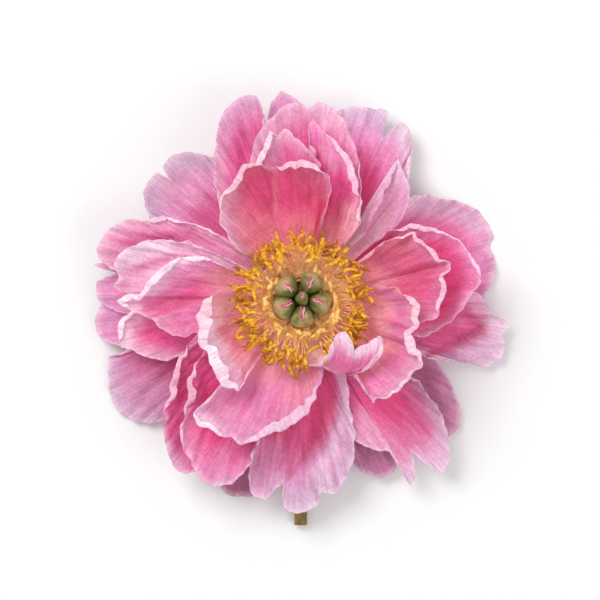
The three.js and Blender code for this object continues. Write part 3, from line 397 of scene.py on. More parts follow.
petal("petal_top_wide", "pink", bearing=86, foot=22.5, rise=(8, 8), rim=[
    (-17, 36, 29), (-20.2, 53, 27.4), (-18.6, 64, 25.6), (-14.8, 69.8, 24.6),
    (-10.4, 74.6, 23.6), (-4.8, 78.6, 23), (-1.4, 79, 23), (2.8, 76.2, 23.4), (6, 79.2, 23),
    (11.2, 77.2, 23.4), (15.2, 74, 24.4, 1), (17.2, 69.6, 26, 1.5), (20.2, 62.8, 28, 1.5),
    (22.4, 54.8, 30, 1.5), (23, 44.8, 31.6, 1), (22.4, 33, 32)],
    tones="magenta magenta magenta rose", left="magenta magenta pink rose",
    right="crimson magenta magenta pink",
    strokes=[("magenta", 5, 0.6, (332, 160), (334, 190)),
             ("orchid", 4, 0.6, (282, 125), (300, 112)),
             ("magenta", 2, 0.6, (303, 122), (313, 132)),
             ("lilac", 3, 0.5, (320, 112), (330, 125))],
    creases=[(2, -1.0, (303, 118), (314, 132), (318, 150)), (3, 1.0, (325, 115), (336, 170)),
             (3, 0.9, (290, 115), (296, 150))],
    rolls=[(338, 113, 0.2), (346, 128, 0.5), (352, 143, 0.6), (358, 163, 0.7), (359, 188, 0.8),
           (358, 205, 0.3)])
petal("petal_top_right_narrow", "lilac", bearing=44, foot=22.5, rise=(8, 14), rim=[
    (25, 25.6, 30, 1), (29.4, 34.8, 30, 3.5), (32.2, 40.8, 29, 4.5), (35.2, 46.6, 28, 4.5),
    (36.8, 51.6, 27, 3), (38, 56.4, 26, 0.5), (40.2, 51.4, 26), (42.6, 45.6, 25),
    (42.8, 39.6, 25), (38, 30, 26)],
    # Its cream and pale tones are partly its own pale colour and partly painted light that lifts the
    # shade it lies in between its neighbours.
    tones="cream pale rose lilac", left="cream rose rose pink", right="cream pale rose orchid",
    ruffle=0.6,
    strokes=[("rose", 3, 0.8, (388, 180), (372, 222), (354, 252))],
    creases=[(2, -0.9, (394, 195), (385, 225))],
    rolls=[(362, 238, 0.3), (369, 226, 1.6), (376, 213, 2.6), (383, 198, 3.2), (390, 183, 3.4),
           (394, 171, 1.8), (397, 159, 0.2)])
petal("petal_lower_left_outer", "pink", bearing=232, foot=22.5, rise=(8, 10), rim=[
    (-29, -52, 24), (-40, -66.4, 20.6), (-46.6, -69.8, 19), (-50.6, -67.6, 19),
    (-53.8, -60, 20), (-55.2, -52.6, 21.4), (-54.4, -48.4, 22.4, 1.5), (-55.4, -44.6, 23, 3),
    (-52.6, -38.8, 25, 3), (-52.4, -33.6, 26, 4), (-50.6, -28, 27, 4),
    (-47.4, -21.6, 28.4, 2.5), (-41, -13, 30)],
    tones="crimson crimson magenta magenta", left="crimson crimson magenta orchid",
    right="crimson magenta magenta pink",
    strokes=[("crimson", 5, 0.6, (190, 350), (186, 400)),
             ("grey_lilac", 2, 0.8, (180, 465), (168, 446)),
             ("berry", 4, 0.5, (182, 425), (180, 450))],
    creases=[(3, -0.9, (186, 360), (180, 440))],
    rolls=[(166, 415, 0.1), (170, 408, 1.2), (172, 401, 1.6), (175, 390, 3), (178, 378, 2.8),
           (181, 366, 2.2), (184, 355, 1.2), (187, 345, 0.7), (194, 336, 0.1)])
petal("cup_petal_left", "coral", bearing=177, foot=24.8, rise=(6, 24), rim=[
    (-33, -10, 31), (-41.2, -12.6, 30), (-51.6, -14, 28), (-56.6, -10.8, 27.6), (-61, -7, 28),
    (-66, -4.4, 28), (-70.4, -3, 28, 2), (-73.6, 0, 28.4, 4), (-70, 2, 29.6, 4),
    (-65.2, 1.4, 31, 4), (-60.6, 7.6, 33, 4), (-55.8, 12.4, 34.4, 4),
    (-51.2, 15.6, 35.4, 3.5), (-46.4, 16.4, 36, 3.5), (-40.8, 17.6, 36.4, 3), (-33, 14, 36)],
    tones="shell pink candy pale", left="shell magenta pink pink", right="shell shell candy pale",
    ruffle=0.5,
    # The crimson and ruby strokes along its creases are partly its own deep crimson and partly
    # painted shade in the folds.
    strokes=[("crimson", 4, 0.75, (150, 312), (172, 302), (198, 290)),
             ("magenta", 3, 0.5, (150, 328), (180, 322)),
             ("ruby", 0.8, 0.6, (148, 318), (166, 311), (184, 304)),
             ("ruby", 0.8, 0.5, (160, 303), (178, 297), (196, 292)),
             ("rose", 0.7, 0.5, (156, 308), (176, 300)), ("rose", 3, 0.6, (128, 332), (160, 347))],
    creases=[(3, -0.6, (150, 310), (200, 285)), (4, 0.5, (150, 325), (205, 305)),
             (1.2, 0.5, (148, 315), (184, 301)), (1.2, -0.5, (150, 304), (180, 290)),
             (1.2, 0.4, (146, 323), (176, 314))],
    rolls=[(131, 307, 0.4), (124, 302, 2.2), (128, 299, 2.6), (138, 299, 1.6), (146, 294, 1.4),
           (152, 286, 2.2), (160, 277, 2.8), (170, 268, 2.4), (180, 262, 1), (184, 260, 0.5),
           (190, 260, 1.8), (198, 259, 1.6), (207, 259, 1), (216, 262, 0.2)])
petal("petal_lower_left", "pink", bearing=238, foot=24, rise=(6, 12), rim=[
    (-15, -44, 28), (-20.8, -64.4, 24.4), (-26, -71.8, 23), (-33, -74.4, 22.4),
    (-39, -73, 22.4), (-42, -68.6, 23.4), (-45.2, -63, 24.4, 0.5), (-47.2, -58.4, 25.4, 2),
    (-48.6, -52, 26.6, 2.5), (-46.6, -46.2, 28, 3), (-45.6, -39, 30, 4.5),
    (-45, -32, 32, 4.5), (-42.6, -26.4, 34, 2.5), (-36, -17, 36)],
    tones="crimson crimson crimson pink", left="crimson crimson berry orchid",
    right="crimson magenta magenta magenta", ruffle=1.0,
    strokes=[("crimson", 5, 0.7, (205, 360), (212, 420)),
             ("orchid", 4, 0.7, (222, 455), (215, 475)),
             ("grey_lilac", 2.4, 0.8, (215, 485), (238, 482)),
             ("pink", 4, 0.6, (235, 440), (240, 465))],
    creases=[(3, -1.0, (208, 380), (215, 455)), (3, 0.9, (222, 425), (232, 470))],
    rolls=[(209, 351, 0.1), (202, 361, 0.5), (197, 369, 1), (193, 381, 2.2), (191, 392, 3),
           (189, 402, 2.6), (187, 411, 1.2), (185, 417, 0.2), (183, 424, 0.8), (182, 434, 1.1),
           (184, 446, 0.9), (190, 462, 0.4)])
petal("petal_top_right", "pink", bearing=68, foot=24, rise=(6, 20), leans=True, rim=[
    (3.6, 44, 32), (5.2, 57.2, 32.6), (4.2, 62, 33), (2.6, 67.6, 33), (4.2, 71.2, 32.6),
    (8.4, 67, 33.4, 1.5), (14, 61.6, 34.6, 3.5), (18, 57, 36, 5), (20.4, 52, 37, 5.5),
    (22, 45.4, 38, 5.5), (22.8, 38, 38, 4.5), (23, 30, 37)],
    tones="shell crimson magenta candy", left="shell crimson magenta magenta",
    right="shell coral magenta pink",
    # The cream stroke low on its right is painted light that lifts the shade where the petal lies
    # deep.
    strokes=[("crimson", 4, 0.7, (337, 175), (345, 205)),
             ("rose", 2.4, 0.7, (322, 148), (334, 168)),
             ("cream", 4, 0.5, (350, 212), (352, 244))],
    creases=[(2.4, -0.8, (325, 150), (345, 200))],
    rolls=[(312, 126, 0.2), (319, 133, 0.5), (328, 142, 0.9), (338, 155, 1.8), (345, 168, 3),
           (351, 180, 3.2), (355, 190, 2.2), (355, 200, 0.6), (356, 210, 1.8), (358, 220, 1.4),
           (358, 232, 0.6), (356, 244, 0.2)])
petal("folded_petal_top", "pink", bearing=98, foot=25, rise=(6, 20), rim=[
    (-19, 42, 34), (-19.8, 51, 34.6, 3), (-17.2, 56, 35, 5), (-14.8, 61.6, 35.4, 5),
    (-12.6, 67, 35.4, 2), (-9.8, 64.2, 35.4, 1.5), (-7.2, 67.6, 35.2), (-3.2, 65.4, 36),
    (0.8, 60.6, 37), (5.4, 56, 38), (8, 46, 38.6)],
    tones="crimson crimson hot rose", left="crimson magenta candy pale",
    right="crimson crimson crimson magenta",
    strokes=[("magenta", 4, 0.6, (284, 155), (300, 165)),
             ("lilac", 3, 0.8, (264, 150), (272, 140), (276, 160))],
    creases=[(2, -0.9, (280, 140), (284, 165)), (2, 0.9, (296, 140), (300, 162))],
    rolls=[(252, 175, 0.4), (257, 164, 2.6), (262, 152, 3.4), (266, 143, 2.8), (270, 134, 1.6),
           (274, 136, 1), (278, 140, 0.3), (284, 131, 0.3), (294, 137, 0.5), (306, 152, 0.4)])
print("back and middle petals:", len(PETALS))

# %% [markdown]
# The innermost petals are steep coral cups that stand round the centre, with thin crimson streaks.
# The petaloid comes last: a stamen that turned into a small petal.

# %% The inner petals
petal("cup_petal_right_outer", "coral", bearing=12, foot=24, rise=(4, 40), rim=[
    (28, 22, 32), (36, 27.4, 34), (45.6, 29.6, 35, 3), (51.2, 28.8, 35, 3.5),
    (57, 26, 35, 2.5), (62.6, 23.2, 34.6, 1.5), (65.8, 19, 34.4, 1.5), (68.6, 15.6, 34, 2),
    (70.8, 11.4, 33.4, 2), (70.8, 7.4, 33.2, 1), (67.2, 3.4, 33.4), (65.2, -0.6, 33.6, 1),
    (62.6, -4.4, 33.6, 1), (58, -8.8, 33.4, 1), (50, -13.4, 33), (38, -15, 32)],
    tones="coral crimson crimson candy", left="coral crimson magenta pink",
    right="coral hot hot rose", ruffle=0.5,
    strokes=[("crimson", 6, 0.7, (447, 250), (455, 285), (440, 315)),
             ("rose", 2, 0.6, (400, 235), (430, 232))],
    creases=[(2, 0.8, (450, 250), (468, 260)), (2, -0.8, (452, 280), (472, 285))],
    rolls=[(392, 232, 0.3), (404, 229, 1.2), (414, 227, 2.2), (428, 229, 1.6), (441, 235, 0.9),
           (452, 238, 0.8), (460, 245, 0.8), (467, 254, 0.9), (473, 263, 1.6), (478, 272, 1.2),
           (477, 278, 0.4), (470, 284, 0.4), (468, 292, 0.8), (461, 306, 0.7), (452, 316, 0.5),
           (440, 326, 0.2)])
petal("petal_bottom_inner", "coral", bearing=-105, foot=25.5, rise=(2, 34), rim=[
    (9, -23, 36), (7.2, -32, 38.4), (5.8, -36, 39.4, 1.5), (4.6, -39.8, 40, 3),
    (1.2, -44.8, 40.4, 4), (-3.2, -48.8, 40.4, 4.5), (-8, -51.2, 40, 4.5),
    (-13.6, -52.8, 39.4, 4.5), (-18, -55.2, 38.6, 4), (-25.4, -56.4, 37.6, 0.5),
    (-27.6, -54.4, 37.4), (-32.4, -53.8, 36.4, 1), (-35.6, -51, 36, 1.5),
    (-40.8, -49.8, 35, 2), (-42.8, -45.4, 34.6), (-36, -38.6, 36), (-29, -30, 37)],
    tones="shell blossom blossom orchid", left="peach shell shell orchid",
    right="shell candy rose lilac", ruffle=0.35,
    strokes=[("crimson", 1.6, 0.35, (280, 390), (268, 418)),
             ("crimson", 1.6, 0.35, (262, 385), (243, 412)),
             ("crimson", 1.6, 0.3, (240, 390), (226, 408)),
             ("blush", 3, 0.8, (202, 420), (215, 432)), ("coral", 5, 0.4, (290, 375), (292, 395))],
    creases=[(2, -0.7, (285, 385), (270, 420)), (2, 0.7, (265, 380), (250, 415)),
             (2, -0.7, (245, 380), (228, 415)), (1.3, 0.6, (220, 398), (236, 412)),
             (1.3, -0.6, (213, 406), (228, 420)), (1.3, 0.5, (240, 404), (252, 420))],
    rolls=[(318, 380, 0.1), (314, 393, 1.6), (306, 406, 3.4), (296, 414, 4.4), (284, 422, 4.4),
           (270, 428, 3.6), (258, 434, 2.4), (246, 437, 1), (237, 438, 0.3), (228, 436, 0.2),
           (221, 432, 1.2), (214, 430, 1.8), (206, 426, 2.2), (200, 420, 1.6), (197, 412, 0.5)])
petal("twisted_petal_left", "coral", bearing=207, foot=26, rise=(2, 52), rim=[
    (-21, -28, 38), (-25.4, -36, 41, 1), (-29, -34.8, 42, 4), (-32, -32, 43, 6),
    (-35.2, -27.6, 44, 7), (-36.6, -22.8, 44.6, 6.5), (-38.6, -19.2, 45, 6),
    (-41, -15.4, 45.6, 7), (-40.2, -10, 46, 7), (-40.2, -4.4, 46, 6), (-38, -0.4, 46, 4),
    (-35.4, 1.8, 45.4, 1.5), (-29, 4, 43)],
    tones="shell shell pale pale", left="shell shell rose pale", right="shell cream shell shell",
    strokes=[("crimson", 2, 0.4, (222, 330), (240, 350)),
             ("coral", 4, 0.5, (230, 310), (245, 335))],
    creases=[(2, -0.8, (225, 320), (245, 345))],
    rolls=[(240, 387, 0.6), (233, 386, 2.6), (226, 380, 4.4), (219, 372, 5.2), (212, 362, 4.6),
           (208, 352, 3.6), (205, 344, 3), (203, 334, 4.2), (202, 322, 5.6), (203, 311, 5.2),
           (207, 301, 3.2), (212, 296, 1)])
petal("cup_petal_right_inner", "coral", bearing=14, foot=26, rise=(2, 46), rim=[
    (27, 17, 38), (31.4, 21.6, 41, 0.5), (36.4, 25, 43, 1.5), (41.2, 25.2, 44, 1.5),
    (44, 26.2, 44.4, 2), (46.4, 23.6, 44.4, 2.5), (48, 21.4, 44.2, 2), (50.4, 21.2, 44.2, 3),
    (52.8, 18.4, 44, 3), (54.4, 15.4, 43.6, 1.5), (58.8, 15, 43), (58, 12, 43, 0.5),
    (55, 9.6, 43, 2), (56.4, 5.4, 43, 3.5), (55.4, 1, 43, 3.5), (54.6, -2.6, 43, 2.5),
    (52.6, -6.4, 42.6), (46.4, -9, 41), (36, -9, 39)],
    tones="shell flush flush pink", left="shell flush coral coral", right="shell coral pink pink",
    strokes=[("crimson", 2, 0.4, (400, 275), (432, 262)),
             ("crimson", 2, 0.5, (400, 292), (432, 295)),
             ("crimson", 3, 0.4, (415, 285), (435, 280)),
             ("rose", 3, 0.5, (415, 312), (430, 318))],
    creases=[(2, 0.7, (400, 268), (440, 255)), (2, -0.7, (400, 284), (440, 280)),
             (2, 0.6, (400, 298), (435, 305))],
    rolls=[(372, 249, 0.1), (386, 241, 0.3), (397, 237, 0.8), (406, 239, 0.8), (412, 236, 1.4),
           (418, 243, 1.6), (424, 247, 0.9), (430, 249, 1.6), (435, 257, 1.8), (438, 264, 1),
           (445, 262, 0.4), (449, 264, 0.4), (446, 270, 0.8), (440, 274, 1.4), (437, 283, 2.2),
           (439, 292, 2), (436, 306, 1.4), (433, 316, 0.3)])
petal("ruffled_petal_right", "coral", bearing=-30, foot=26.5, rise=(2, 50), rim=[
    (29, 6, 39), (40.6, 2.6, 45, 1), (45, -1.4, 46, 3.5), (46, -5.2, 46.6, 4),
    (45, -10, 46.8, 3.5), (43.2, -13.8, 46.8, 4), (44.4, -18.6, 46.6, 5),
    (47.4, -21.4, 46, 3), (46.8, -25, 45.4), (44, -28, 45, 1), (42, -31, 44.4, 2),
    (37.8, -35.4, 43.4, 2), (32.4, -38.4, 42.4, 1.5), (27.8, -40.4, 41.6), (24.8, -35, 40),
    (19, -24, 38)],
    tones="shell shell pink rose", left="shell shell pink shell", right="shell coral candy orchid",
    ruffle=1.0,
    strokes=[("crimson", 2, 0.35, (385, 320), (405, 330)),
             ("crimson", 2, 0.35, (380, 350), (395, 365)),
             ("rose", 3, 0.6, (395, 385), (375, 398))],
    creases=[(2, 0.7, (380, 325), (408, 318)), (2, -0.8, (378, 340), (408, 345))],
    rolls=[(404, 294, 0.8), (411, 302, 2.6), (416, 312, 3), (414, 322, 2), (411, 331, 2.4),
           (411, 341, 4), (415, 350, 3.4), (420, 356, 1.2), (418, 363, 0.6), (410, 372, 1.2),
           (400, 383, 1.4), (388, 394, 1), (371, 401, 0.3)])
petal("cup_petal_top", "coral", bearing=99, foot=26.5, rise=(2, 56), rim=[
    (-24, 19, 35), (-29.4, 26, 39.6), (-32.2, 33.4, 42.4, 1), (-31.4, 41, 44.6, 3),
    (-27.6, 44.8, 45.8, 3.5), (-24.8, 50.4, 46.8, 3.5), (-21.8, 53.2, 47, 3),
    (-15, 53.2, 46.4, 1.5), (-13.6, 51.8, 46), (-9.6, 52, 46.6, 3), (-4, 54.4, 47.2, 5),
    (0.4, 54.8, 47.2, 5), (4.8, 53.2, 47, 4), (7.2, 50.8, 46.6, 2), (10.4, 48.6, 46),
    (11.2, 45.4, 45), (9.6, 38, 42.6), (7.4, 30, 39)],
    tones="coral ruby ruby flush", left="coral shell rose pale", right="coral ruby flush pink",
    ruffle=0.45,
    # The wine and crimson lines at the fold on its left are painted shade, and the thin shell line
    # beside them is a painted highlight.
    strokes=[("crimson", 6, 0.5, (280, 185), (285, 215)),
             ("wine", 1.3, 0.8, (269, 171), (270, 190), (272, 214)),
             ("crimson", 2.6, 0.6, (268, 172), (268, 192)),
             ("shell", 1.0, 0.5, (275, 178), (276, 214)),
             ("wine", 0.9, 0.25, (292, 180), (290, 215)),
             ("coral", 6, 0.6, (262, 230), (300, 230))],
    creases=[(2, -0.7, (270, 175), (274, 225)), (2, 0.6, (258, 180), (262, 225)),
             (2, 0.6, (300, 175), (298, 225))],
    rolls=[(222, 218, 0.2), (224, 206, 1), (225, 197, 0.9), (232, 188, 2), (239, 179, 2.6),
           (247, 171, 1.6), (256, 168, 1.2), (265, 166, 0.4), (271, 169, 0.1), (277, 169, 0.6),
           (286, 166, 2), (296, 164, 2.8), (306, 167, 2.8), (313, 171, 1.8), (320, 176, 0.8),
           (327, 181, 0.3), (329, 190, 0)])
petal("petaloid", "coral", bearing=-80, foot=27.4, bulge=36, rim=[
    (24, -25, 41), (28, -21, 43), (32, -15.6, 45), (30.6, -13.8, 45.6), (26, -17.4, 46),
    (22.6, -18.6, 46), (20.4, -20.4, 45.6), (19.2, -15.4, 48), (16.8, -12.8, 49.4),
    (13.4, -14.2, 48.8), (10.4, -21, 45.6), (7.6, -25.4, 42.6), (2.4, -26, 40)],
    tones="peach pink pink pale", ruffle=0.5,
    strokes=[("magenta", 3.0, 0.8, (338, 362), (350, 368)),
             ("magenta", 2.6, 0.7, (354, 369), (368, 359)),
             ("berry", 0.9, 0.6, (350, 374), (354, 360)),
             ("pink", 1.4, 0.5, (333, 352), (338, 342)),
             ("pale", 1.6, 0.8, (345, 340), (350, 352)),
             ("peach", 3, 0.8, (309, 340), (313, 360))])
print("petals:", len(PETALS), "rim points:", sum(len(one["rim"]) for one in PETALS),
      "strokes:", sum(len(one.get("strokes", ())) for one in PETALS))

# %% [markdown]
# ## Small helpers
#
# Directions and lengths of lines in the air, a share that starts and ends gently, and waves with
# a chance phase. The chance is always seeded, so the bloom grows the same way every time.

# %% Small helpers
def unit(vectors):
    return vectors / np.maximum(np.linalg.norm(vectors, axis=-1, keepdims=True), 1e-9)


def lengths_along(points):
    """How far along a line each of its points is."""
    steps = np.linalg.norm(np.diff(points, axis=0), axis=1)
    return np.concatenate([[0], np.cumsum(steps)])


def level_length(vectors):
    return np.linalg.norm(vectors[..., :2], axis=-1)


def compass(bearings):
    """Unit vectors, level, at these bearings in degrees."""
    angle = np.radians(bearings)
    return np.stack([np.cos(angle), np.sin(angle), np.zeros_like(angle)], axis=-1)


def eased(values, low, high):
    """0 up to low, 1 from high on, and a gentle climb between them."""
    share = np.clip((values - low) / (high - low), 0, 1)
    return share * share * (3 - 2 * share)


def waves(length, wavelengths, chance):
    """A sum of sine waves of these wavelengths along a length, each with a chance phase."""
    return sum(np.sin(2 * np.pi * (length / wave + chance.random())) for wave in wavelengths) / 2


print("a bearing of 90 points to", compass(90.0).round(3))

# %% [markdown]
# ## From rim points to a smooth rim
#
# A curve through the rim points has to be smooth along the sides of the petal, but still sharp
# in a notch. It is a Hermite curve, whose slope at each point is eased down where the rim turns
# sharply.

# %% A curve through the rim points
CURVE_SAMPLES = 900
SHORTEST_SPAN = 0.1  # mm, so that no two rim points stand in one place
LEAST_SLOPE = 0.12  # the share of its slope that the curve keeps at the sharpest turn


def rim_keys(one):
    """A petal's rim points, each with the width of its strip."""
    return np.array([(*point, 0)[:4] for point in one["rim"]], float)


def curve_through(keys):
    """Samples of a curve through key points, and each sample's place among them."""
    spans = np.maximum(np.linalg.norm(np.diff(keys[:, :2], axis=0), axis=1), SHORTEST_SPAN)
    knots = np.concatenate([[0], np.cumsum(spans)])
    slopes = np.gradient(keys, knots, axis=0)
    ways = unit(np.diff(keys[:, :2], axis=0))
    straightness = np.clip((ways[1:] * ways[:-1]).sum(axis=1), LEAST_SLOPE, 1)
    slopes[1:-1] *= straightness[:, None]
    at = np.linspace(0, knots[-1], CURVE_SAMPLES)
    span = np.clip(np.searchsorted(knots, at, side="right") - 1, 0, len(spans) - 1)
    share = ((at - knots[span]) / spans[span])[:, None]
    width = spans[span][:, None]
    points = ((2 * share**3 - 3 * share**2 + 1) * keys[span]
              + (share**3 - 2 * share**2 + share) * width * slopes[span]
              + (3 * share**2 - 2 * share**3) * keys[span + 1]
              + (share**3 - share**2) * width * slopes[span + 1])
    points[:, 3] = np.interp(at, knots, keys[:, 3])
    return points, span + share[:, 0]


longest_rim = max(lengths_along(curve_through(rim_keys(one))[0][:, :3])[-1] for one in PETALS)
print("longest rim:", round(longest_rim), "mm")

# %% [markdown]
# Each rim point gets a ray of its own from the petal's foot. A notch is a cut in a whole blade,
# so the rim that the petal would have without its notches is found first: where rays on both
# sides reach further, the ray is lengthened to theirs.

# %% The whole rim
CLAW_RADIUS = 10  # mm from the axis to the petals' feet
CLAW_HALF_ANGLE = 17  # degrees
UNCUT = 0.05  # mm that a ray may fall short and still be taken as whole


def feet(one, place):
    """Where on the receptacle the ray to each place along the rim starts."""
    foot = CLAW_RADIUS * compass(one["bearing"] + (1 - 2 * place) * CLAW_HALF_ANGLE)
    foot[:, 2] = one["foot"]
    return foot


def whole_rim(one, foot, rim):
    """The rim that the petal would have if no notch cut its rays short, and where it is so."""
    if one.get("bulge"):
        return rim, np.full(len(rim), True)
    reach = level_length(rim - foot)
    from_left = np.maximum.accumulate(reach)
    from_right = np.maximum.accumulate(reach[::-1])[::-1]
    filled = np.minimum(from_left, from_right)
    uncut = filled - reach < UNCUT
    whole = foot + (rim - foot) * (filled / reach)[:, None]
    column = np.arange(len(rim))
    whole[:, 2] = np.interp(column, column[uncut], rim[uncut, 2])
    return whole, uncut


print("a foot is", round(2 * CLAW_RADIUS * math.sin(math.radians(CLAW_HALF_ANGLE)), 1), "mm wide")

# %% [markdown]
# The grid's columns are then spread evenly, mostly along that whole rim, so that they don't crowd
# in a notch. Small waves are laid along the edge, because no petal's edge is clean.

# %% Columns along the rim
COLUMN_STEP = 1.0  # mm of rim to each column of the grid
FEWEST_COLUMNS = 40
MOST_COLUMNS = 170
NOTCH_SHARE = 0.35  # how much a notch's own sides count when columns are spread along the rim
FRAY = 0.2  # mm that the edge wanders in and out
FRAY_WAVES = (3.3, 5.9, 9.7)  # mm
FRAY_ENDS = 6  # mm at each end of the rim over which the fray fades in


def petal_rim(one, chance):
    """Rim points for the columns of a petal, their strip widths and their places."""
    keys = rim_keys(one)
    points, place = curve_through(keys)
    place = place / (len(keys) - 1)
    whole, _ = whole_rim(one, feet(one, place), points[:, :3])
    length = (NOTCH_SHARE * lengths_along(points[:, :3])
              + (1 - NOTCH_SHARE) * lengths_along(whole))
    columns = int(np.clip(length[-1] / COLUMN_STEP, FEWEST_COLUMNS, MOST_COLUMNS))
    even = np.linspace(0, length[-1], columns)
    resampled = np.array([np.interp(even, length, points[:, k]) for k in range(4)]).T
    rim, width = resampled[:, :3], resampled[:, 3]
    along = unit(np.gradient(rim, axis=0))
    outward = unit(np.cross([0, 0, 1], along)) * [1, 1, 0]
    ends = np.clip(np.minimum(even, length[-1] - even) / FRAY_ENDS, 0, 1)
    rim = rim + outward * (FRAY * ends * waves(even, FRAY_WAVES, chance))[:, None]
    return rim, width, np.interp(even, length, place)


columns = [len(petal_rim(one, random.Random(0))[0]) for one in PETALS]
print("columns in a petal: from", min(columns), "to", max(columns))

# %% [markdown]
# ## From the rim to a blade
#
# A ray runs from the petal's narrow foot to each rim point. It is a Bezier curve that leaves the
# receptacle at one slope and arrives at another. Only the petaloid's rays bulge out and come
# back, and one lobe leans back over its own foot.

# %% Rays
HANDLE_SHARE = 0.38  # length of a ray's two handles, as a share of the ray
BULGE_DROP = 0.3  # how far the second handle of a bulging ray drops, as a share of its rise
BULGE_LOST = 0.26  # share of its bulge that a petal has lost at the far end of its rim
BULGE_KEPT_TO = 0.6  # how far along the rim it loses none


def never_back(level):
    """The rays' level directions, held so that each turns clockwise from the one before. A lobe
    that leans back then bends over only near its tip."""
    angle = np.minimum.accumulate(np.unwrap(np.arctan2(level[:, 1], level[:, 0])))
    return compass(np.degrees(angle))


def handles(one, foot, rim, place):
    """Where the two handles of each ray stand."""
    if one.get("bulge"):
        way = compass(np.array(one["bearing"], float))
        past = np.clip((place - BULGE_KEPT_TO) / (1 - BULGE_KEPT_TO), 0, 1)
        bulge = one["bulge"] * (1 - BULGE_LOST * past)
        leave = foot + way * (bulge - CLAW_RADIUS)[:, None]
        arrive = rim + way * (bulge - rim @ way)[:, None]
        arrive[:, 2] -= BULGE_DROP * (rim[:, 2] - foot[:, 2])
        return leave, arrive
    level = unit((rim - foot) * [1, 1, 0])
    end = rim
    if one.get("leans"):
        level = never_back(level)
        end = foot + level * level_length(rim - foot)[:, None]
        end[:, 2] = rim[:, 2]
    reach = HANDLE_SHARE * np.linalg.norm(rim - foot, axis=1)[:, None]
    first, last = (level * math.cos(math.radians(slope))
                   + np.array([0, 0, 1]) * math.sin(math.radians(slope))
                   for slope in one["rise"])
    return foot + first * reach, end - last * reach


def along_rays(foot, leave, arrive, rim, share):
    """Points this share of the way along each ray, for one share or several to each ray."""
    t = share[..., None]
    foot, leave, arrive, rim = (ends[:, None, :] for ends in (foot, leave, arrive, rim))
    return ((1 - t)**3 * foot + 3 * (1 - t)**2 * t * leave + 3 * (1 - t) * t**2 * arrive
            + t**3 * rim)


print("petals with a bulge:", [one["name"] for one in PETALS if "bulge" in one])

# %% [markdown]
# Together the rays sweep out the blade. Where a notch cuts it, its rays are those of the whole
# blade, cut short, so that the blade is as smooth there as beside the notch.

# %% The blade
BODY_ROWS = 34
CUT_TRIES = 3  # how often the cut ray's length is corrected


def blade(one, rim, place):
    """The blade's points by column and row, how high up the whole blade each of them is, and
    how far along the whole rim each column is."""
    foot = feet(one, place)
    whole, uncut = whole_rim(one, foot, rim)
    leave, arrive = handles(one, foot, whole, place)
    reach = level_length(rim - foot)
    share = np.where(uncut, 1, reach / level_length(whole - foot))
    for _ in range(CUT_TRIES):
        ends = along_rays(foot, leave, arrive, whole, share[:, None])[:, 0]
        share = np.where(uncut, 1, np.clip(share * reach / level_length(ends - foot), 0, 1))
    height = share[:, None] * np.linspace(0, 1, BODY_ROWS)[None, :]
    return along_rays(foot, leave, arrive, whole, height), height, lengths_along(whole)


print("points in all the blades:", sum(columns) * BODY_ROWS)

# %% [markdown]
# ## Waves and creases
#
# A real petal is never a clean sheet. Broad billows, ruffles that grow towards the rim, a fine
# crumple and each petal's own creases are added along the blade's normals. This is what makes
# light play over it as over the real one.

# %% Waves and creases
BILLOW = 0.5  # mm
BILLOW_WAVES = (31.0, 19.0)  # mm
RUFFLE = 0.7  # mm, for a petal that doesn't say
RUFFLE_WAVES = (14.0, 9.1, 6.3)  # mm at the rim
RUFFLE_AT_FOOT = 0.6  # how much longer they are at the foot: their lengths are divided by this
MOST_LEAN = 9  # mm by which the waves stray sideways from foot to rim
CRUMPLE = 0.32  # mm
CRUMPLE_WAVES = (5.1, 6.7, 8.9, 11.3)  # mm
HELD = 8  # mm of rim at each end that its neighbours hold still
LEAST_LIFT = 0.25  # share of its waves that a petal keeps where it is held
NORMALS_SMOOTHED = 14  # times


def averaged(grid):
    """Each point of a grid, averaged from its four neighbours."""
    padded = np.pad(grid, ((1, 1), (1, 1), (0, 0)), mode="edge")
    return (padded[:-2, 1:-1] + padded[2:, 1:-1] + padded[1:-1, :-2] + padded[1:-1, 2:]) / 4


def normals_of(points):
    """Which way the blade faces, smoothed so that a notch in the rim doesn't crumple it."""
    across = np.gradient(points, axis=0)
    along = np.gradient(points, axis=1)
    normals = unit(np.cross(across, along))
    normals = normals * np.where(normals[..., 2:3] < 0, -1, 1)
    for _ in range(NORMALS_SMOOTHED):
        normals = averaged(normals)
    return unit(normals)


def distance_to(stroke, points):
    """How far each point is, seen from above, from a stroke of pixels."""
    ends = [np.array(pixel(*at)) for at in stroke]
    flat = points[..., :2]
    nearest = np.linalg.norm(flat - ends[0], axis=-1)
    for start, end in zip(ends, ends[1:]):
        run = end - start
        share = np.clip(((flat - start) @ run) / max(run @ run, 1e-9), 0, 1)
        nearest = np.minimum(nearest, np.linalg.norm(flat - start - share[..., None] * run,
                                                     axis=-1))
    return nearest


def ruffle(points, height, length, one, chance):
    """Billows, ruffles and creases along the blade's normals."""
    t = height
    s = length[:, None]
    lean = MOST_LEAN * chance.random()
    broad = waves(s + lean * t, BILLOW_WAVES, chance) * np.sin(np.pi * t) * BILLOW
    fan = RUFFLE_AT_FOOT + (1 - RUFFLE_AT_FOOT) * t
    fine = waves(s * fan + lean * t, RUFFLE_WAVES, chance) * t**3
    lift = broad + one.get("ruffle", RUFFLE) * fine
    for wave in CRUMPLE_WAVES:
        way = compass(chance.uniform(0, 360))
        lift = lift + CRUMPLE * waves(points @ way, (wave,), chance) * np.sqrt(t)
    lift = lift * np.clip(np.minimum(s, length[-1] - s) / HELD, LEAST_LIFT, 1)
    for width, rise, *stroke in one.get("creases", ()):
        lift = lift + rise * np.exp(-(distance_to(stroke, points) / width)**2)
    return points + normals_of(points) * lift[..., None]


print("creases:", sum(len(one.get("creases", ())) for one in PETALS))

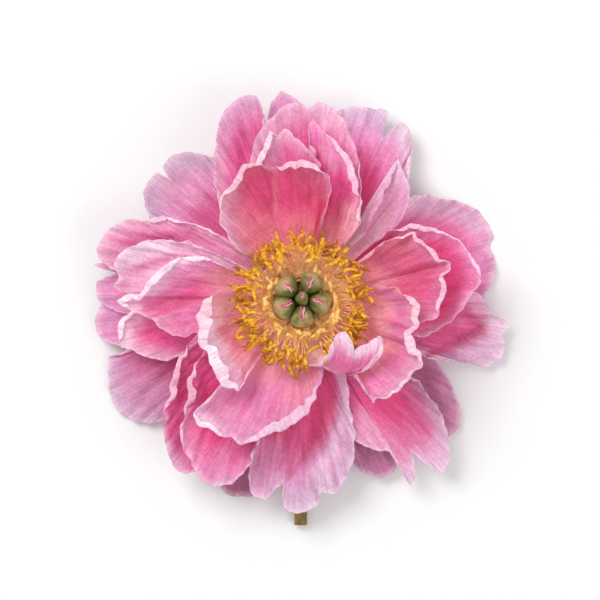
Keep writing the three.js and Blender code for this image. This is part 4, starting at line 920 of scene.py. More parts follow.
# %% [markdown]
# ## Folded rims
#
# Where the photograph shows a pale strip, the rim is folded over the petal's own face and shows
# its underside. How wide the strip is comes from the photograph, and its free edge is ragged.

# %% How wide the folded strip is
NARROWED = 0.6  # a strip of which no more is known shows this much of its width in the CAD
ROLL_ENDS = 3  # mm of rim over which a strip starts and ends


def smoothed(values, times):
    """Values along the rim, each averaged with its neighbours."""
    for _ in range(times):
        padded = np.concatenate([values[:1], values, values[-1:]])
        values = (padded[:-2] + 2 * padded[1:-1] + padded[2:]) / 4
    return values


def roll_widths(one, points, width, length):
    """How wide the strip is at each rim point: as the photograph shows it, or as in the CAD."""
    if "rolls" not in one:
        return width * NARROWED
    at = []
    for column, row, wide in one["rolls"]:
        gap = np.linalg.norm(points[:, -1, :2] - pixel(column, row), axis=1)
        at.append((length[gap.argmin()], wide))
    at.sort()
    first, last = at[0][0] - ROLL_ENDS, at[-1][0] + ROLL_ENDS
    at = [(first, 0.0), *at, (last, 0.0)]
    return np.interp(length, *np.array(at).T, left=0.0, right=0.0)


print("petals with a folded rim:", sum("rolls" in one for one in PETALS))

# %% [markdown]
# The strip first rolls round a small radius and then lies back over the blade. Steep cups start
# their roll nearly upright, so they need to turn less than flat petals. Rows of the grid are
# added beyond the rim for it. Without a strip they only run on a little, so that every petal has
# the same rows.

# %% The folded strip
STRIP_ROWS = 9
STRIP_LEAN = 170  # degrees that the strip has turned from level when it lies over the blade
STRIP_SWAY = 8  # degrees by which that wanders
SWAY_WAVES = (23.0, 13.0)  # mm
RAGGED = 0.11  # share of its width by which a strip's free edge wanders
RAGGED_WAVES = (4.3, 7.1, 11.3)  # mm
FULL_FOLD = 1.2  # mm of strip from which the rim is folded right over
ROLL_RADIUS = 0.34  # mm, for the narrowest strip
ROLL_OPENING = 0.07  # mm that this grows for each mm of strip
PLAIN_EDGE = 0.3  # mm that an unfolded rim runs on
RUN_ROWS = 3  # rows below the rim over which the blade's direction is taken
RUN_SMOOTHED = 8  # times
STEEPEST = 1.5  # radians


def folded(points, width, length, chance):
    """The blade with the rows of its folded strip added beyond the rim."""
    run = unit(smoothed(points[:, -1] - points[:, -1 - RUN_ROWS], RUN_SMOOTHED))
    face = unit(np.cross(smoothed(np.gradient(points[:, -1], axis=0), RUN_SMOOTHED), run))
    face *= np.sign(face[:, 2:3] + 1e-9)
    fade = eased(width, 0, FULL_FOLD)
    ragged = 1 + RAGGED * waves(length, RAGGED_WAVES, chance)
    radius = ROLL_RADIUS + ROLL_OPENING * width
    slope = np.arcsin(np.clip(run[:, 2], -1, 1))
    sway = np.radians(STRIP_SWAY) * waves(length, SWAY_WAVES, chance)
    turn = (np.radians(STRIP_LEAN) - slope + sway) * fade
    flat = np.maximum(width * ragged - radius, 0) * fade
    whole = np.maximum(radius * turn + flat, PLAIN_EDGE)
    overshoot = radius * (1 - np.sin(np.clip(slope, 0, STEEPEST))) * fade
    t = np.linspace(0, 1, points.shape[1])[None, :, None] ** 4
    points = points - (unit(run * [1, 1, 0]) * overshoot[:, None])[:, None] * t
    rows = []
    for share in np.linspace(0, 1, STRIP_ROWS + 1)[1:]:
        gone = share * whole
        angle = np.minimum(gone / radius, turn)
        beyond = np.maximum(gone - radius * turn, 0)
        out = radius * np.sin(angle) + beyond * np.cos(turn)
        up = radius * (1 - np.cos(angle)) + beyond * np.sin(turn)
        rows.append(points[:, -1] + run * out[:, None] + face * up[:, None])
    return np.concatenate([points, np.stack(rows, axis=1)], axis=1)


def shaped(one, chance):
    """A petal with all its waves and folds. Returns its points, how high up the blade each is,
    and how far along the rim each column is."""
    rim, width, place = petal_rim(one, chance)
    points, height, length = blade(one, rim, place)
    points = ruffle(points, height, length, one, chance)
    width = roll_widths(one, points, width, length)
    points = folded(points, width, length, chance)
    height = np.concatenate([height, np.repeat(height[:, -1:], STRIP_ROWS, axis=1)], axis=1)
    return points, height, length


print("rows in a petal:", BODY_ROWS + STRIP_ROWS)

# %% [markdown]
# ## The pile
#
# Petals that are drawn one by one would run through each other. A real bloom is a pile, so the
# script keeps a height map of what lies there already. Each new petal is lifted where it would
# sink into the pile, the lift is spread over its neighbours so that the petal stays smooth, and
# then the petal joins the pile itself.

# %% The pile
PILE_STEP = 0.5  # mm
PILE_HALF = 200  # squares from the axis to the edge
PILE_AIR = 0.25  # mm kept between pieces
PETAL_THICKNESS = 0.4  # mm
LIFT_SPREAD = 24  # rows and columns over which a lift is spread
SETTLE_TRIES = 6
SETTLED = 0.05  # mm of sinking that is let be
BETWEEN_COLUMNS = 3  # spots marked on the pile for each column
BETWEEN_ROWS = 5
EMPTY = -1.0  # height of a square where nothing lies yet
pile = np.full((2 * PILE_HALF + 1, 2 * PILE_HALF + 1), EMPTY)


def squares(points):
    """The squares of the pile over which these points stand."""
    at = np.rint(points[..., :2] / PILE_STEP).astype(int) + PILE_HALF
    return at[..., 0], at[..., 1]


def widest(heights):
    """Each square of the pile, raised to the highest of its neighbours."""
    raised = heights.copy()
    for axis in (0, 1):
        for step in (-1, 1):
            raised = np.maximum(raised, np.roll(heights, step, axis))
    return raised


def spread(need):
    """A lift that is smooth over the petal and nowhere less than what is needed."""
    lift = need
    for _ in range(LIFT_SPREAD):
        lift = np.maximum(need, averaged(lift[..., None])[..., 0])
    return lift


def add_to_pile(points):
    for share in np.linspace(0, 1, BETWEEN_COLUMNS, endpoint=False):
        between = points[:-1] * (1 - share) + points[1:] * share
        for step in np.linspace(0, 1, BETWEEN_ROWS, endpoint=False):
            spot = between[:, :-1] * (1 - step) + between[:, 1:] * step
            np.maximum.at(pile, squares(spot), spot[..., 2])


def settle(points, thickness):
    """Lifts a petal clear of the pile and adds it to the pile."""
    below = widest(pile)
    for _ in range(SETTLE_TRIES):
        floor_height = below[squares(points)]
        short = np.where(floor_height < 0, 0,
                         np.maximum(floor_height + PILE_AIR + thickness - points[..., 2], 0))
        if short.max() < SETTLED:
            break
        need = short[:, :BODY_ROWS].copy()
        need[:, -1] = np.maximum(need[:, -1], short[:, BODY_ROWS - 1:].max(axis=1))
        lift = spread(need)
        points[:, :BODY_ROWS, 2] += lift
        points[:, BODY_ROWS:, 2] += lift[:, -1:]
    points[..., 2] = np.maximum(points[..., 2], thickness)
    add_to_pile(points)
    return points


print("the pile covers", PILE_STEP * 2 * PILE_HALF, "mm each way")

# %% [markdown]
# ## Building the mesh
#
# The surface is now an array of points. Blender's own grid operator makes the faces and their
# UV map, and every vertex is moved to its point. The UV map runs across the petal and from foot
# to rim, so veins can follow it. Each vertex remembers its row, and a petal's also its tint.

# %% Grids into pieces
def new_bmesh():
    bm = bmesh.new()
    bm.loops.layers.uv.new("UVMap")
    bm.verts.layers.int.new("row")
    return bm


def place_grid(bm, points, tints=None):
    """Adds a grid to bm and moves its vertices to these points, in mm, with these tints. Returns
    its vertices."""
    columns, rows = points.shape[:2]
    made = bmesh.ops.create_grid(bm, x_segments=columns - 1, y_segments=rows - 1, size=0.5,
                                 calc_uvs=True)["verts"]
    for vert in made:
        i = round((vert.co.x + 0.5) * (columns - 1))
        j = round((vert.co.y + 0.5) * (rows - 1))
        vert.co = (points[i, j] + AXIS) * MM
        vert[bm.verts.layers.int["row"]] = j
        if tints is not None:
            vert[bm.verts.layers.float_color["tint"]] = (*tints[i, j], 1)
    return made


def finish_piece(bm, name, node, materials):
    """Makes an object of a bmesh, rides it on the body and hides the CAD node that it replaces."""
    mesh = bpy.data.meshes.new(name)
    bm.to_mesh(mesh)
    bm.free()
    for material in materials:
        mesh.materials.append(material)
    piece = bpy.data.objects.new(name, mesh)
    scene.collection.objects.link(piece)
    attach(piece, "root")
    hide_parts(node)
    return piece


# %% [markdown]
# ## The petal's colour, point by point
#
# The tint is worked out where the vertices are, so it costs the renderer nothing. It runs from
# the foot's tone through the petal's four tones, wanders a little sideways as real pigment does,
# takes the strokes on top, and pales in a thin line along the rim: partly the thin edge's own
# paler colour, partly a painted highlight where the rim catches the light.

# %% Painting a petal
TONE_HEIGHTS = (0.0, 0.34, 0.6, 0.8, 0.97)  # where the foot's tone and the four tones lie
FOOT_TONE = "peach"
SIDE_RULES = 0.11  # the share of the rim at each side in which its side tones rule alone
SIDE_ENDS = 0.44  # and the share to which they reach
MARGIN = 0.7  # mm of paler edge, partly the edge's own colour and partly painted highlight
MARGIN_STRENGTH = 0.4
MARGIN_REACH = (34, 60)  # mm from the axis: no pale edge before the first, all of it past the second
STREAKS = 0.05  # how much lighter and darker the streaks across a petal are
STREAK_WAVES = (2.1, 3.4, 5.9, 11.7)  # mm at the rim
STREAK_AT_FOOT = 0.7  # their lengths are divided by this at the foot
STREAK_CLIMB = 0.045  # how far the tones run up and down along a streak
STROKE_STREAKS = 0.15  # how much the streaks show in a stroke


def mixed(start, end, share):
    return start * (1 - share[..., None]) + end * share[..., None]


def climb(names, height):
    """The tones of one line from foot to rim, at each height."""
    tint = np.broadcast_to(TONES[FOOT_TONE], (*height.shape, 3))
    for name, low, high in zip(names.split(), TONE_HEIGHTS, TONE_HEIGHTS[1:]):
        tint = mixed(tint, TONES[name], eased(height, low, high))
    return tint


def tint_of(points, t, length, one, chance):
    """The colour of each point of a petal, foot to rim and on over its folded strip."""
    s = length[:, None]
    streaks = waves(s * (STREAK_AT_FOOT + (1 - STREAK_AT_FOOT) * t), STREAK_WAVES, chance)
    height = t + STREAK_CLIMB * streaks * np.sin(np.pi * t)
    side = np.broadcast_to(s / length[-1], t.shape)
    tint = climb(one["tones"], height)
    tint = mixed(tint, climb(one.get("left", one["tones"]), height),
                 eased(-side, -SIDE_ENDS, -SIDE_RULES))
    tint = mixed(tint, climb(one.get("right", one["tones"]), height),
                 eased(side, 1 - SIDE_ENDS, 1 - SIDE_RULES))
    for tone, width, strength, *stroke in one.get("strokes", ()):
        near = np.exp(-(distance_to(stroke, points) / width)**2)
        patchy = 1 - STROKE_STREAKS + STROKE_STREAKS * streaks
        tint = mixed(tint, TONES[tone], strength * near * patchy)
    # The pale edge is partly the thin rim's own colour and partly a painted highlight.
    rim = points[:, BODY_ROWS - 1:BODY_ROWS]
    strength = MARGIN_STRENGTH * eased(np.linalg.norm(rim[..., :2], axis=-1), *MARGIN_REACH)
    tint = mixed(tint, TONES["blush"],
                 strength * np.exp(-np.linalg.norm(points - rim, axis=-1) / MARGIN))
    return np.clip(tint * (1 + STREAKS * streaks[..., None]), 0, 1)


print("half way up the last petal:", climb(PETALS[-1]["tones"], np.array([0.5])).round(2))

# %% [markdown]
# ## Shader helpers
#
# Materials are built from nodes. These helpers add a node, give it its values and hand back its
# socket, so that a material below reads as a recipe.

# %% Shader helpers
def node(tree, kind, values=(), **settings):
    """Adds a node with these settings, and these values on its sockets."""
    made = tree.nodes.new("ShaderNode" + kind)
    for setting, value in settings.items():
        setattr(made, setting, value)
    for socket, value in dict(values).items():
        made.inputs[socket].default_value = value
    return made


def join(tree, value, socket):
    """Links a socket to another, or sets a plain value on it."""
    if isinstance(value, bpy.types.NodeSocket):
        tree.links.new(value, socket)
    else:
        socket.default_value = value


def maths(tree, operation, first, second):
    """A sum, product or other operation on two sockets or numbers. Returns its socket."""
    made = node(tree, "Math", operation=operation)
    join(tree, first, made.inputs[0])
    join(tree, second, made.inputs[1])
    return made.outputs[0]


def weighed(tree, value, weight, more, more_weight=1.0):
    """The sum of two values, each times its weight."""
    return maths(tree, "ADD", maths(tree, "MULTIPLY", value, weight),
                 maths(tree, "MULTIPLY", more, more_weight))


def mix_colours(tree, share, first, second, blend="MIX"):
    """A colour mix of sockets or colours. Returns its socket."""
    made = node(tree, "Mix", data_type="RGBA", blend_type=blend)
    for value, socket in zip((share, first, second),
                             (made.inputs[0], made.inputs[6], made.inputs[7])):
        join(tree, value, socket)
    return made.outputs[2]


def stretched(tree, coordinates, scale, turn=0.0):
    """Coordinates scaled, and turned by some degrees. Returns their socket."""
    made = node(tree, "Mapping", {"Scale": [1 / one for one in scale],
                                  "Rotation": (0, 0, math.radians(turn))}, vector_type="TEXTURE")
    tree.links.new(coordinates, made.inputs["Vector"])
    return made.outputs[0]


def noise(tree, coordinates, scale=1.0, detail=3.0, distortion=0.0):
    made = node(tree, "TexNoise", {"Scale": scale, "Detail": detail, "Distortion": distortion})
    tree.links.new(coordinates, made.inputs["Vector"])
    return made.outputs["Fac"]


def ramp(tree, factor, low, high):
    """Stretches a value so that low gives 0 and high gives 1."""
    made = node(tree, "MapRange", {"From Min": low, "From Max": high})
    tree.links.new(factor, made.inputs["Value"])
    return made.outputs["Result"]


def bump_into(tree, shader, height, distance, strength):
    """Links a height to a shader's normal."""
    made = node(tree, "Bump", {"Distance": distance, "Strength": strength})
    tree.links.new(height, made.inputs["Height"])
    tree.links.new(made.outputs["Normal"], shader.inputs["Normal"])


def new_skin(name, roughness):
    """A material of this roughness. Returns it with its node tree and its shader."""
    material = bpy.data.materials.new(name)
    material.use_nodes = True
    shader = material.node_tree.nodes["Principled BSDF"]
    shader.inputs["Roughness"].default_value = roughness
    return material, material.node_tree, shader


def painted_glow(tree, shader, colour, strength):
    """Painted light: a weak glow in its own colour that lifts the shade of a thin part."""
    tree.links.new(colour, shader.inputs["Emission Color"])
    shader.inputs["Emission Strength"].default_value = strength


print("nodes are built for Blender", bpy.app.version_string)

# %% [markdown]
# ## Veins and grain
#
# Close up, a petal shows fine veins that run from its foot to its rim, and a skin with a grain
# like paper. Both are shader node groups that all petals share, each with one input for how
# strong it is. The veins read the UV map, so they follow each petal's own shape. The grain reads
# Object coordinates.

# %% The shared vein and grain groups
FINE_VEINS = (90, 2.4, 1)  # how often they repeat across a petal, and from foot to rim
COARSE_VEINS = (38, 1.4, 1)
HATCH = (330, 1500, 330)  # repeats to the metre
CROSS_HATCH = (420, 1500, 420)
BLOTCH = 120.0


def new_group(name, strength, outputs):
    """A shader node group of single values. Returns it, its input's socket and its output node."""
    group = bpy.data.node_groups.new(name, "ShaderNodeTree")
    group.interface.new_socket(strength, in_out="INPUT", socket_type="NodeSocketFloat")
    for socket in outputs:
        group.interface.new_socket(socket, in_out="OUTPUT", socket_type="NodeSocketFloat")
    given = group.nodes.new("NodeGroupInput")
    return group, given.outputs[strength], group.nodes.new("NodeGroupOutput")


def vein_group():
    """Veins from foot to rim. Puts out how dark a vein is, and how high the skin stands."""
    group, depth, out = new_group("veins", "Depth", ["Dark", "Height"])
    put = node(group, "TexCoord").outputs["UV"]
    fine = noise(group, stretched(group, put, FINE_VEINS), detail=5, distortion=0.3)
    coarse = noise(group, stretched(group, put, COARSE_VEINS), detail=3, distortion=0.5)
    dark = weighed(group, ramp(group, fine, 0.46, 0.62), 0.6, ramp(group, coarse, 0.46, 0.66), 0.5)
    group.links.new(maths(group, "MULTIPLY", dark, depth), out.inputs["Dark"])
    group.links.new(weighed(group, fine, 1.0, coarse, 1.4), out.inputs["Height"])
    return group


def grain_group():
    """The paper grain: a fine linen hatching with soft blotches. Puts out how much light the
    skin throws back, round 1, and how high it stands."""
    group, contrast, out = new_group("grain", "Contrast", ["Light", "Height"])
    put = node(group, "TexCoord").outputs["Object"]
    hatch = noise(group, stretched(group, put, HATCH, -30), detail=4, distortion=0.4)
    cross = noise(group, stretched(group, put, CROSS_HATCH, 48), detail=4, distortion=0.4)
    blotch = noise(group, put, BLOTCH)
    weave = maths(group, "ADD", hatch, cross)
    light = weighed(group, ramp(group, weave, 0.82, 1.18), 0.6, ramp(group, blotch, 0.3, 0.7), 0.4)
    swing = maths(group, "SUBTRACT", maths(group, "MULTIPLY", light, 2.0), 1.0)
    group.links.new(maths(group, "ADD", maths(group, "MULTIPLY", swing, contrast), 1.0),
                    out.inputs["Light"])
    group.links.new(weave, out.inputs["Height"])
    return group


VEINS = vein_group()
GRAIN = grain_group()
print("groups:", VEINS.name, "and", GRAIN.name)

# %% [markdown]
# ## Petal skins
#
# One material is for the upper faces and one for the undersides, which are nearly white with a
# trace of the same tint, in soft patches. A petal has a dry, velvety skin, so it is rough with a
# little sheen.

# %% Petal skins
VEIN_DEPTH = 0.6
VEIN_TONE = (0.86, 0.46, 0.66, 1)
GRAIN_CONTRAST = 0.2
PETAL_GLOW = 0.1  # painted light: a glow that stands in for light coming through the thin petals and lifts their shade
UNDERSIDE_PALENESS = 0.46
PATCHES = 210.0  # repeats to the metre
PATCHINESS = 0.4  # how much paler the palest patch is than the darkest


def petal_material(name, paleness):
    """A petal's skin, its tint mixed with blush white by this share."""
    material, tree, shader = new_skin(name, roughness=0.6)
    tint = node(tree, "Attribute", attribute_name="tint")
    veins = node(tree, "Group", {"Depth": VEIN_DEPTH}, node_tree=VEINS)
    grain = node(tree, "Group", {"Contrast": GRAIN_CONTRAST}, node_tree=GRAIN)
    patches = ramp(tree, noise(tree, node(tree, "TexCoord").outputs["Object"], PATCHES), 0.3, 0.7)
    uneven = weighed(tree, patches, PATCHINESS * paleness, (1 - PATCHINESS / 2) * paleness)
    base = mix_colours(tree, uneven, tint.outputs["Color"], (*TONES["blush"], 1))
    deep = mix_colours(tree, 1.0, base, VEIN_TONE, "MULTIPLY")
    veined = mix_colours(tree, veins.outputs["Dark"], base, deep)
    light = node(tree, "CombineColor")
    for channel in light.inputs:
        tree.links.new(grain.outputs["Light"], channel)
    tree.links.new(mix_colours(tree, 1.0, veined, light.outputs[0], "MULTIPLY"),
                   shader.inputs["Base Color"])
    painted_glow(tree, shader, veined, PETAL_GLOW)
    shader.inputs["Sheen Weight"].default_value = 0.1
    shader.inputs["Specular IOR Level"].default_value = 0.3
    height = weighed(tree, veins.outputs["Height"], 1.0, grain.outputs["Height"], 0.3)
    bump_into(tree, shader, height, distance=0.0006, strength=0.55)
    return material


FACE = petal_material("petal face", 0.0)
UNDERSIDE = petal_material("petal underside", UNDERSIDE_PALENESS)
print("materials:", FACE.name, "and", UNDERSIDE.name)

# %% [markdown]
# ## Growing a petal
#
# A petal's piece is its grid with a wall: a Solidify modifier gives the thickness, and puts the
# second material on the underside. Each petal draws its chances from its own name, so a change to
# one leaves the others as they are.

# %% Growing a petal
WALL_SPARE = 0.05  # mm by which the wall is thinner than the room kept for it on the pile


def grow(one, thickness, materials):
    """Makes the piece of one petal or sepal."""
    chance = random.Random(one["name"])
    points, height, length = shaped(one, chance)
    points = settle(points, thickness)
    bm = new_bmesh()
    bm.verts.layers.float_color.new("tint")
    place_grid(bm, points, tint_of(points, height, length, one, chance))
    bmesh.ops.recalc_face_normals(bm, faces=bm.faces)
    if sum(face.normal.z * face.calc_area() for face in bm.faces) < 0:
        bmesh.ops.reverse_faces(bm, faces=bm.faces)
    for face in bm.faces:
        face.smooth = True
    piece = finish_piece(bm, one["name"] + "_fine", one["name"], materials)
    wall = piece.modifiers.new("thickness", "SOLIDIFY")
    wall.thickness = (thickness - WALL_SPARE) * MM
    wall.offset = -1
    wall.material_offset = 1
    return piece


print("petal wall:", round(PETAL_THICKNESS - WALL_SPARE, 2), "mm")

# %% [markdown]
# ## Sepals
#
# Five green sepals back the bloom. The photograph does not show them, but a peony has them, and
# they can be seen from below. They are made as the petals are, only thicker, and they go on the
# pile first.

# %% Sepals
SEPAL_COUNT = 5
FIRST_SEPAL = 60  # bearing in degrees
SEPAL_MIDDLE = 19  # mm from the bloom's axis to the middle of a sepal's round end
SEPAL_LENGTHS = (8, 10.6)  # mm from there to its end, by turns
SEPAL_WIDTH = 8.6  # mm each way
SEPAL_TIP = 1.4  # mm that its small point stands out
SEPAL_TIP_TURN = 12  # degrees each way over which the point rises
SEPAL_TURNS = range(-105, 106, 15)  # degrees round its end
SEPAL_HEIGHT = 14  # mm
SEPAL_DROOP = 0.02  # mm down for each mm outwards
SEPAL_THICKNESS = 0.8


def sepal(index):
    """A round, shallow leaf with a small point."""
    bearing = FIRST_SEPAL + 360 // SEPAL_COUNT * index
    length = SEPAL_LENGTHS[index % 2]
    rim = []
    for turn in SEPAL_TURNS:
        point = SEPAL_TIP * math.exp(-(turn / SEPAL_TIP_TURN)**2)
        out = SEPAL_MIDDLE + (length + point) * math.cos(math.radians(turn))
        aside = SEPAL_WIDTH * math.sin(math.radians(turn))
        place = compass(float(bearing)) * out + compass(bearing - 90.0) * aside
        rim.append((place[0], place[1], SEPAL_HEIGHT - SEPAL_DROOP * out))
    return dict(name=f"sepal_{index + 1}", family="leaf", bearing=bearing, foot=15, rim=rim,
                rise=(-4, 8), tones="coral coral coral coral", ruffle=0.3)


def leaf_material(name, tone, dark, stretch=(1, 1, 1)):
    """A green skin, mottled between two tones."""
    material, tree, shader = new_skin(name, roughness=0.45)
    put = node(tree, "TexCoord").outputs["Object"]
    mottle = noise(tree, stretched(tree, put, stretch), 260.0, 4)
    tree.links.new(mix_colours(tree, ramp(tree, mottle, 0.38, 0.62), (*dark, 1), (*tone, 1)),
                   shader.inputs["Base Color"])
    bump_into(tree, shader, mottle, distance=0.0004, strength=0.5)
    return material


LEAF_FACE = leaf_material("sepal face", linear(120, 135, 70), linear(95, 112, 55))
sepals = [grow(sepal(index), SEPAL_THICKNESS, [LEAF_FACE, LEAF_FACE])
          for index in range(SEPAL_COUNT)]
print("sepals:", [piece.name for piece in sepals])

# %% [markdown]
# ## All the petals
#
# Everything is ready, so the petals grow one after the other, from the back of the bloom to its
# front, each on top of those before it.

# %% All the petals
petals = [grow(one, PETAL_THICKNESS, [FACE, UNDERSIDE]) for one in PETALS]
print("faces in petals:", sum(len(piece.data.polygons) for piece in petals),
      "highest point of the pile:", round(pile.max(), 1), "mm")

# %% [markdown]
# ## Tubes
#
# The stem, the stamens' threads and the carpels are all tubes: rings of points along a line.
# Blender's grid is wrapped into a tube, its seam is merged and its ends are filled, so that no
# vertex or face list has to be written out.

# %% Tubes
MERGE = 1e-7  # metres between two vertices that are one


def ring(centre, across, up, width, depth, sides, lobes=0.0, lobe_count=0):
    """Points round one ring of a tube, whose outline may be lobed."""
    angle = np.linspace(0, 2 * np.pi, sides + 1)
    swell = 1 + lobes * np.cos(lobe_count * angle)
    return (centre + np.outer(np.cos(angle) * swell, across) * width
            + np.outer(np.sin(angle) * swell, up) * depth)


def frames_along(centres, hint):
    """For each centre of a line, the direction across it and the direction up from it."""
    run = unit(np.gradient(centres, axis=0))
    hint = np.broadcast_to(hint, run.shape)
    across = unit(hint - (run * hint).sum(axis=1, keepdims=True) * run)
    return across, np.cross(run, across)


def add_tube(bm, rings, material_index=0):
    """Adds a closed tube through these rings of points. The last ring may be the first again."""
    grid = place_grid(bm, np.array(rings).transpose(1, 0, 2))
    faces = {face for vert in grid for face in vert.link_faces}
    bmesh.ops.remove_doubles(bm, verts=grid, dist=MERGE)
    faces = [face for face in faces if face.is_valid]
    edges = [edge for edge in {edge for face in faces for edge in face.edges} if edge.is_boundary]
    if edges:
        faces += bmesh.ops.holes_fill(bm, edges=edges, sides=0)["faces"]
    bmesh.ops.recalc_face_normals(bm, faces=faces)
    for face in faces:
        face.material_index = material_index
        face.smooth = True
    return faces


def add_rod(bm, centres, widths, depths, hint, sides, material_index=0):
    """Adds a tube along a line, so wide and so deep at each of its points."""
    centres = np.array(centres, float)
    across, up = frames_along(centres, np.array(hint, float))
    add_tube(bm, [ring(c, a, u, w, d, sides) for c, a, u, w, d
                  in zip(centres, across, up, widths, depths)], material_index)


# %% [markdown]
# ## The stem and the receptacle
#
# The cut stem lies along the surface, turns up at its neck and swells into the receptacle, which
# everything else grows from. Only the last few millimetres of it show in the photograph.

# %% Stem
STEM_RADIUS = 2.6
STEM_END = -91.6  # mm along Y from the bloom's axis
STEM_SWAY = -0.5
STEM_SWAY_LENGTH = 20  # mm of stem for each radian of its sway
STEM_RINGS = 40
STEM_SIDES = 28
STEM_RIDGE = 0.012  # share of its radius by which each ring in turn is thinner
FLAT_SIDES = 12  # the CAD stem has twelve sides and rests on one of them
NECK_BEND = 9.6
NECK_START = NECK_BEND + 4
NECK_RINGS = 12
RECEPTACLE_RADIUS = 9.5
RECEPTACLE_BOTTOM = 13
RECEPTACLE_TOP = 29
RECEPTACLE_SHAPE = [(0, 3.2), (0.8, 4.8), (2, 7.4), (3.4, 9), (5, RECEPTACLE_RADIUS),
                    (10, RECEPTACLE_RADIUS),
                    (RECEPTACLE_TOP - RECEPTACLE_BOTTOM, RECEPTACLE_RADIUS)]  # (rise, radius)


def grow_stem():
    lying = STEM_RADIUS * math.cos(math.pi / FLAT_SIDES)
    centres = [(STEM_SWAY * math.sin(y / STEM_SWAY_LENGTH), y, lying)
               for y in np.linspace(STEM_END, -NECK_START, STEM_RINGS)]
    radii = [STEM_RADIUS * (1 - STEM_RIDGE * (i % 3)) for i in range(STEM_RINGS)]
    for angle in np.linspace(0, math.pi / 2, NECK_RINGS):
        centres.append((0, NECK_BEND * (math.sin(angle) - 1),
                        lying + NECK_BEND * (1 - math.cos(angle))))
        radii.append(STEM_RADIUS)
    for rise, radius in RECEPTACLE_SHAPE:
        centres.append((0, 0, RECEPTACLE_BOTTOM + rise))
        radii.append(radius)
    bm = new_bmesh()
    add_rod(bm, centres, radii, radii, (1, 0, 0), STEM_SIDES)
    material = leaf_material("stem skin", linear(166, 116, 54), linear(98, 94, 44), (3, 0.8, 3))
    return finish_piece(bm, "stem_fine", "stem_and_receptacle", [material])


stem = grow_stem()
print("stem faces:", len(stem.data.polygons))

# %% [markdown]
# ## Skins of the centre
#
# The threads, anthers, straps and crests each have a skin of one tone with a fine mottle of
# another, and the first three a weak painted glow, painted light that lifts the shade deep in
# the centre. The collar is the peach ring from which the threads rise. Its darker lines run
# outwards between them as painted shade in their gaps, and a stronger painted glow lifts it.

# %% Skins of the centre
COLLAR_LINES = (170, 1.5, 1)  # repeats round the collar, and from its inside out


def plain_material(name, tone, mottle_tone, mottle_scale=900.0, roughness=0.55, glow=0.0):
    """A skin of one tone with a fine mottle of another."""
    material, tree, shader = new_skin(name, roughness)
    mottle = noise(tree, node(tree, "TexCoord").outputs["Object"], mottle_scale)
    skin = mix_colours(tree, ramp(tree, mottle, 0.38, 0.66), (*tone, 1), (*mottle_tone, 1))
    tree.links.new(skin, shader.inputs["Base Color"])
    painted_glow(tree, shader, skin, glow)
    bump_into(tree, shader, mottle, distance=0.0003, strength=0.5)
    return material


def collar_material():
    """Peach skin with darker lines that run outwards between the threads, painted shade in their
    gaps, and a painted glow.
    """
    material, tree, shader = new_skin("collar", roughness=0.6)
    put = stretched(tree, node(tree, "TexCoord").outputs["UV"], COLLAR_LINES)
    lines = noise(tree, put, distortion=0.2)
    skin = mix_colours(tree, ramp(tree, lines, 0.32, 0.6), (*linear(204, 126, 78), 1),
                       (*linear(250, 202, 146), 1))
    tree.links.new(skin, shader.inputs["Base Color"])
    painted_glow(tree, shader, skin, 0.26)
    bump_into(tree, shader, lines, distance=0.0008, strength=0.7)
    return material


# The glows here are painted light, which lifts the shade among the threads and straps.
THREAD = plain_material("stamen_thread", linear(252, 212, 158), linear(234, 172, 112), glow=0.12)
ANTHER = plain_material("anther", linear(248, 192, 40), linear(208, 130, 20), 700.0, glow=0.05)
TIP = plain_material("anther_tip", linear(202, 126, 26), linear(150, 86, 22))
STRAW = plain_material("straw", linear(248, 202, 116), linear(206, 138, 62), 500.0, glow=0.12)
COLLAR_SKIN = collar_material()
STAMEN_SKINS = [THREAD, ANTHER, TIP, COLLAR_SKIN]
print("skins of the stamens:", [skin.name for skin in STAMEN_SKINS])

# %% [markdown]
# ## One stamen
#
# A stamen is a thin peach thread with a long golden anther. The anther has two lobes, tapers,
# twists, bends and curls, and browns at its tip as it ripens. There will be hundreds of them, so
# each is kept to a few dozen faces.

# %% One stamen
DISC_BOTTOM = RECEPTACLE_TOP + 0.4
DISC_TOP = DISC_BOTTOM + 2
THREAD_POINTS = 7
THREAD_SIDES = 5
THREAD_RADIUS = 0.24
NECK_RADIUS = 0.18
THREAD_FOOT = (8.8, 9.3)  # mm from the axis
KNEE_REACH = 15
KNEE_SWAY = 1.8
NECK_SWAY = 1.4
ANTHER_SHAPE = (0.35, 0.8, 1.0, 0.85, 0.95, 0.9, 0.66, 0.3)  # its half width, foot to tip
ANTHER_GIRTH = (0.56, 0.82)  # mm
ANTHER_FLATNESS = 0.6
ANTHER_SIDES = 8
ANTHER_LOBES = 0.24
ANTHER_LIFT = (-0.1, 0.5)  # radians from level
ANTHER_BEND = 0.18  # share of its length
ANTHER_CURL = 0.34  # share of its length
ANTHER_TWIST = 2.4  # radians
ANTHER_WAVE = 0.25  # mm up and down
ALL_BROWN = 0.1  # share of the anthers that are brown all over
BROWNED = (4, 5, 6, 9)  # the ring from which the tip is brown, where 9 is past the last


def bezier(start, knee, end, count):
    t = np.linspace(0, 1, count)[:, None]
    return (1 - t)**2 * start + 2 * (1 - t) * t * knee + t**2 * end


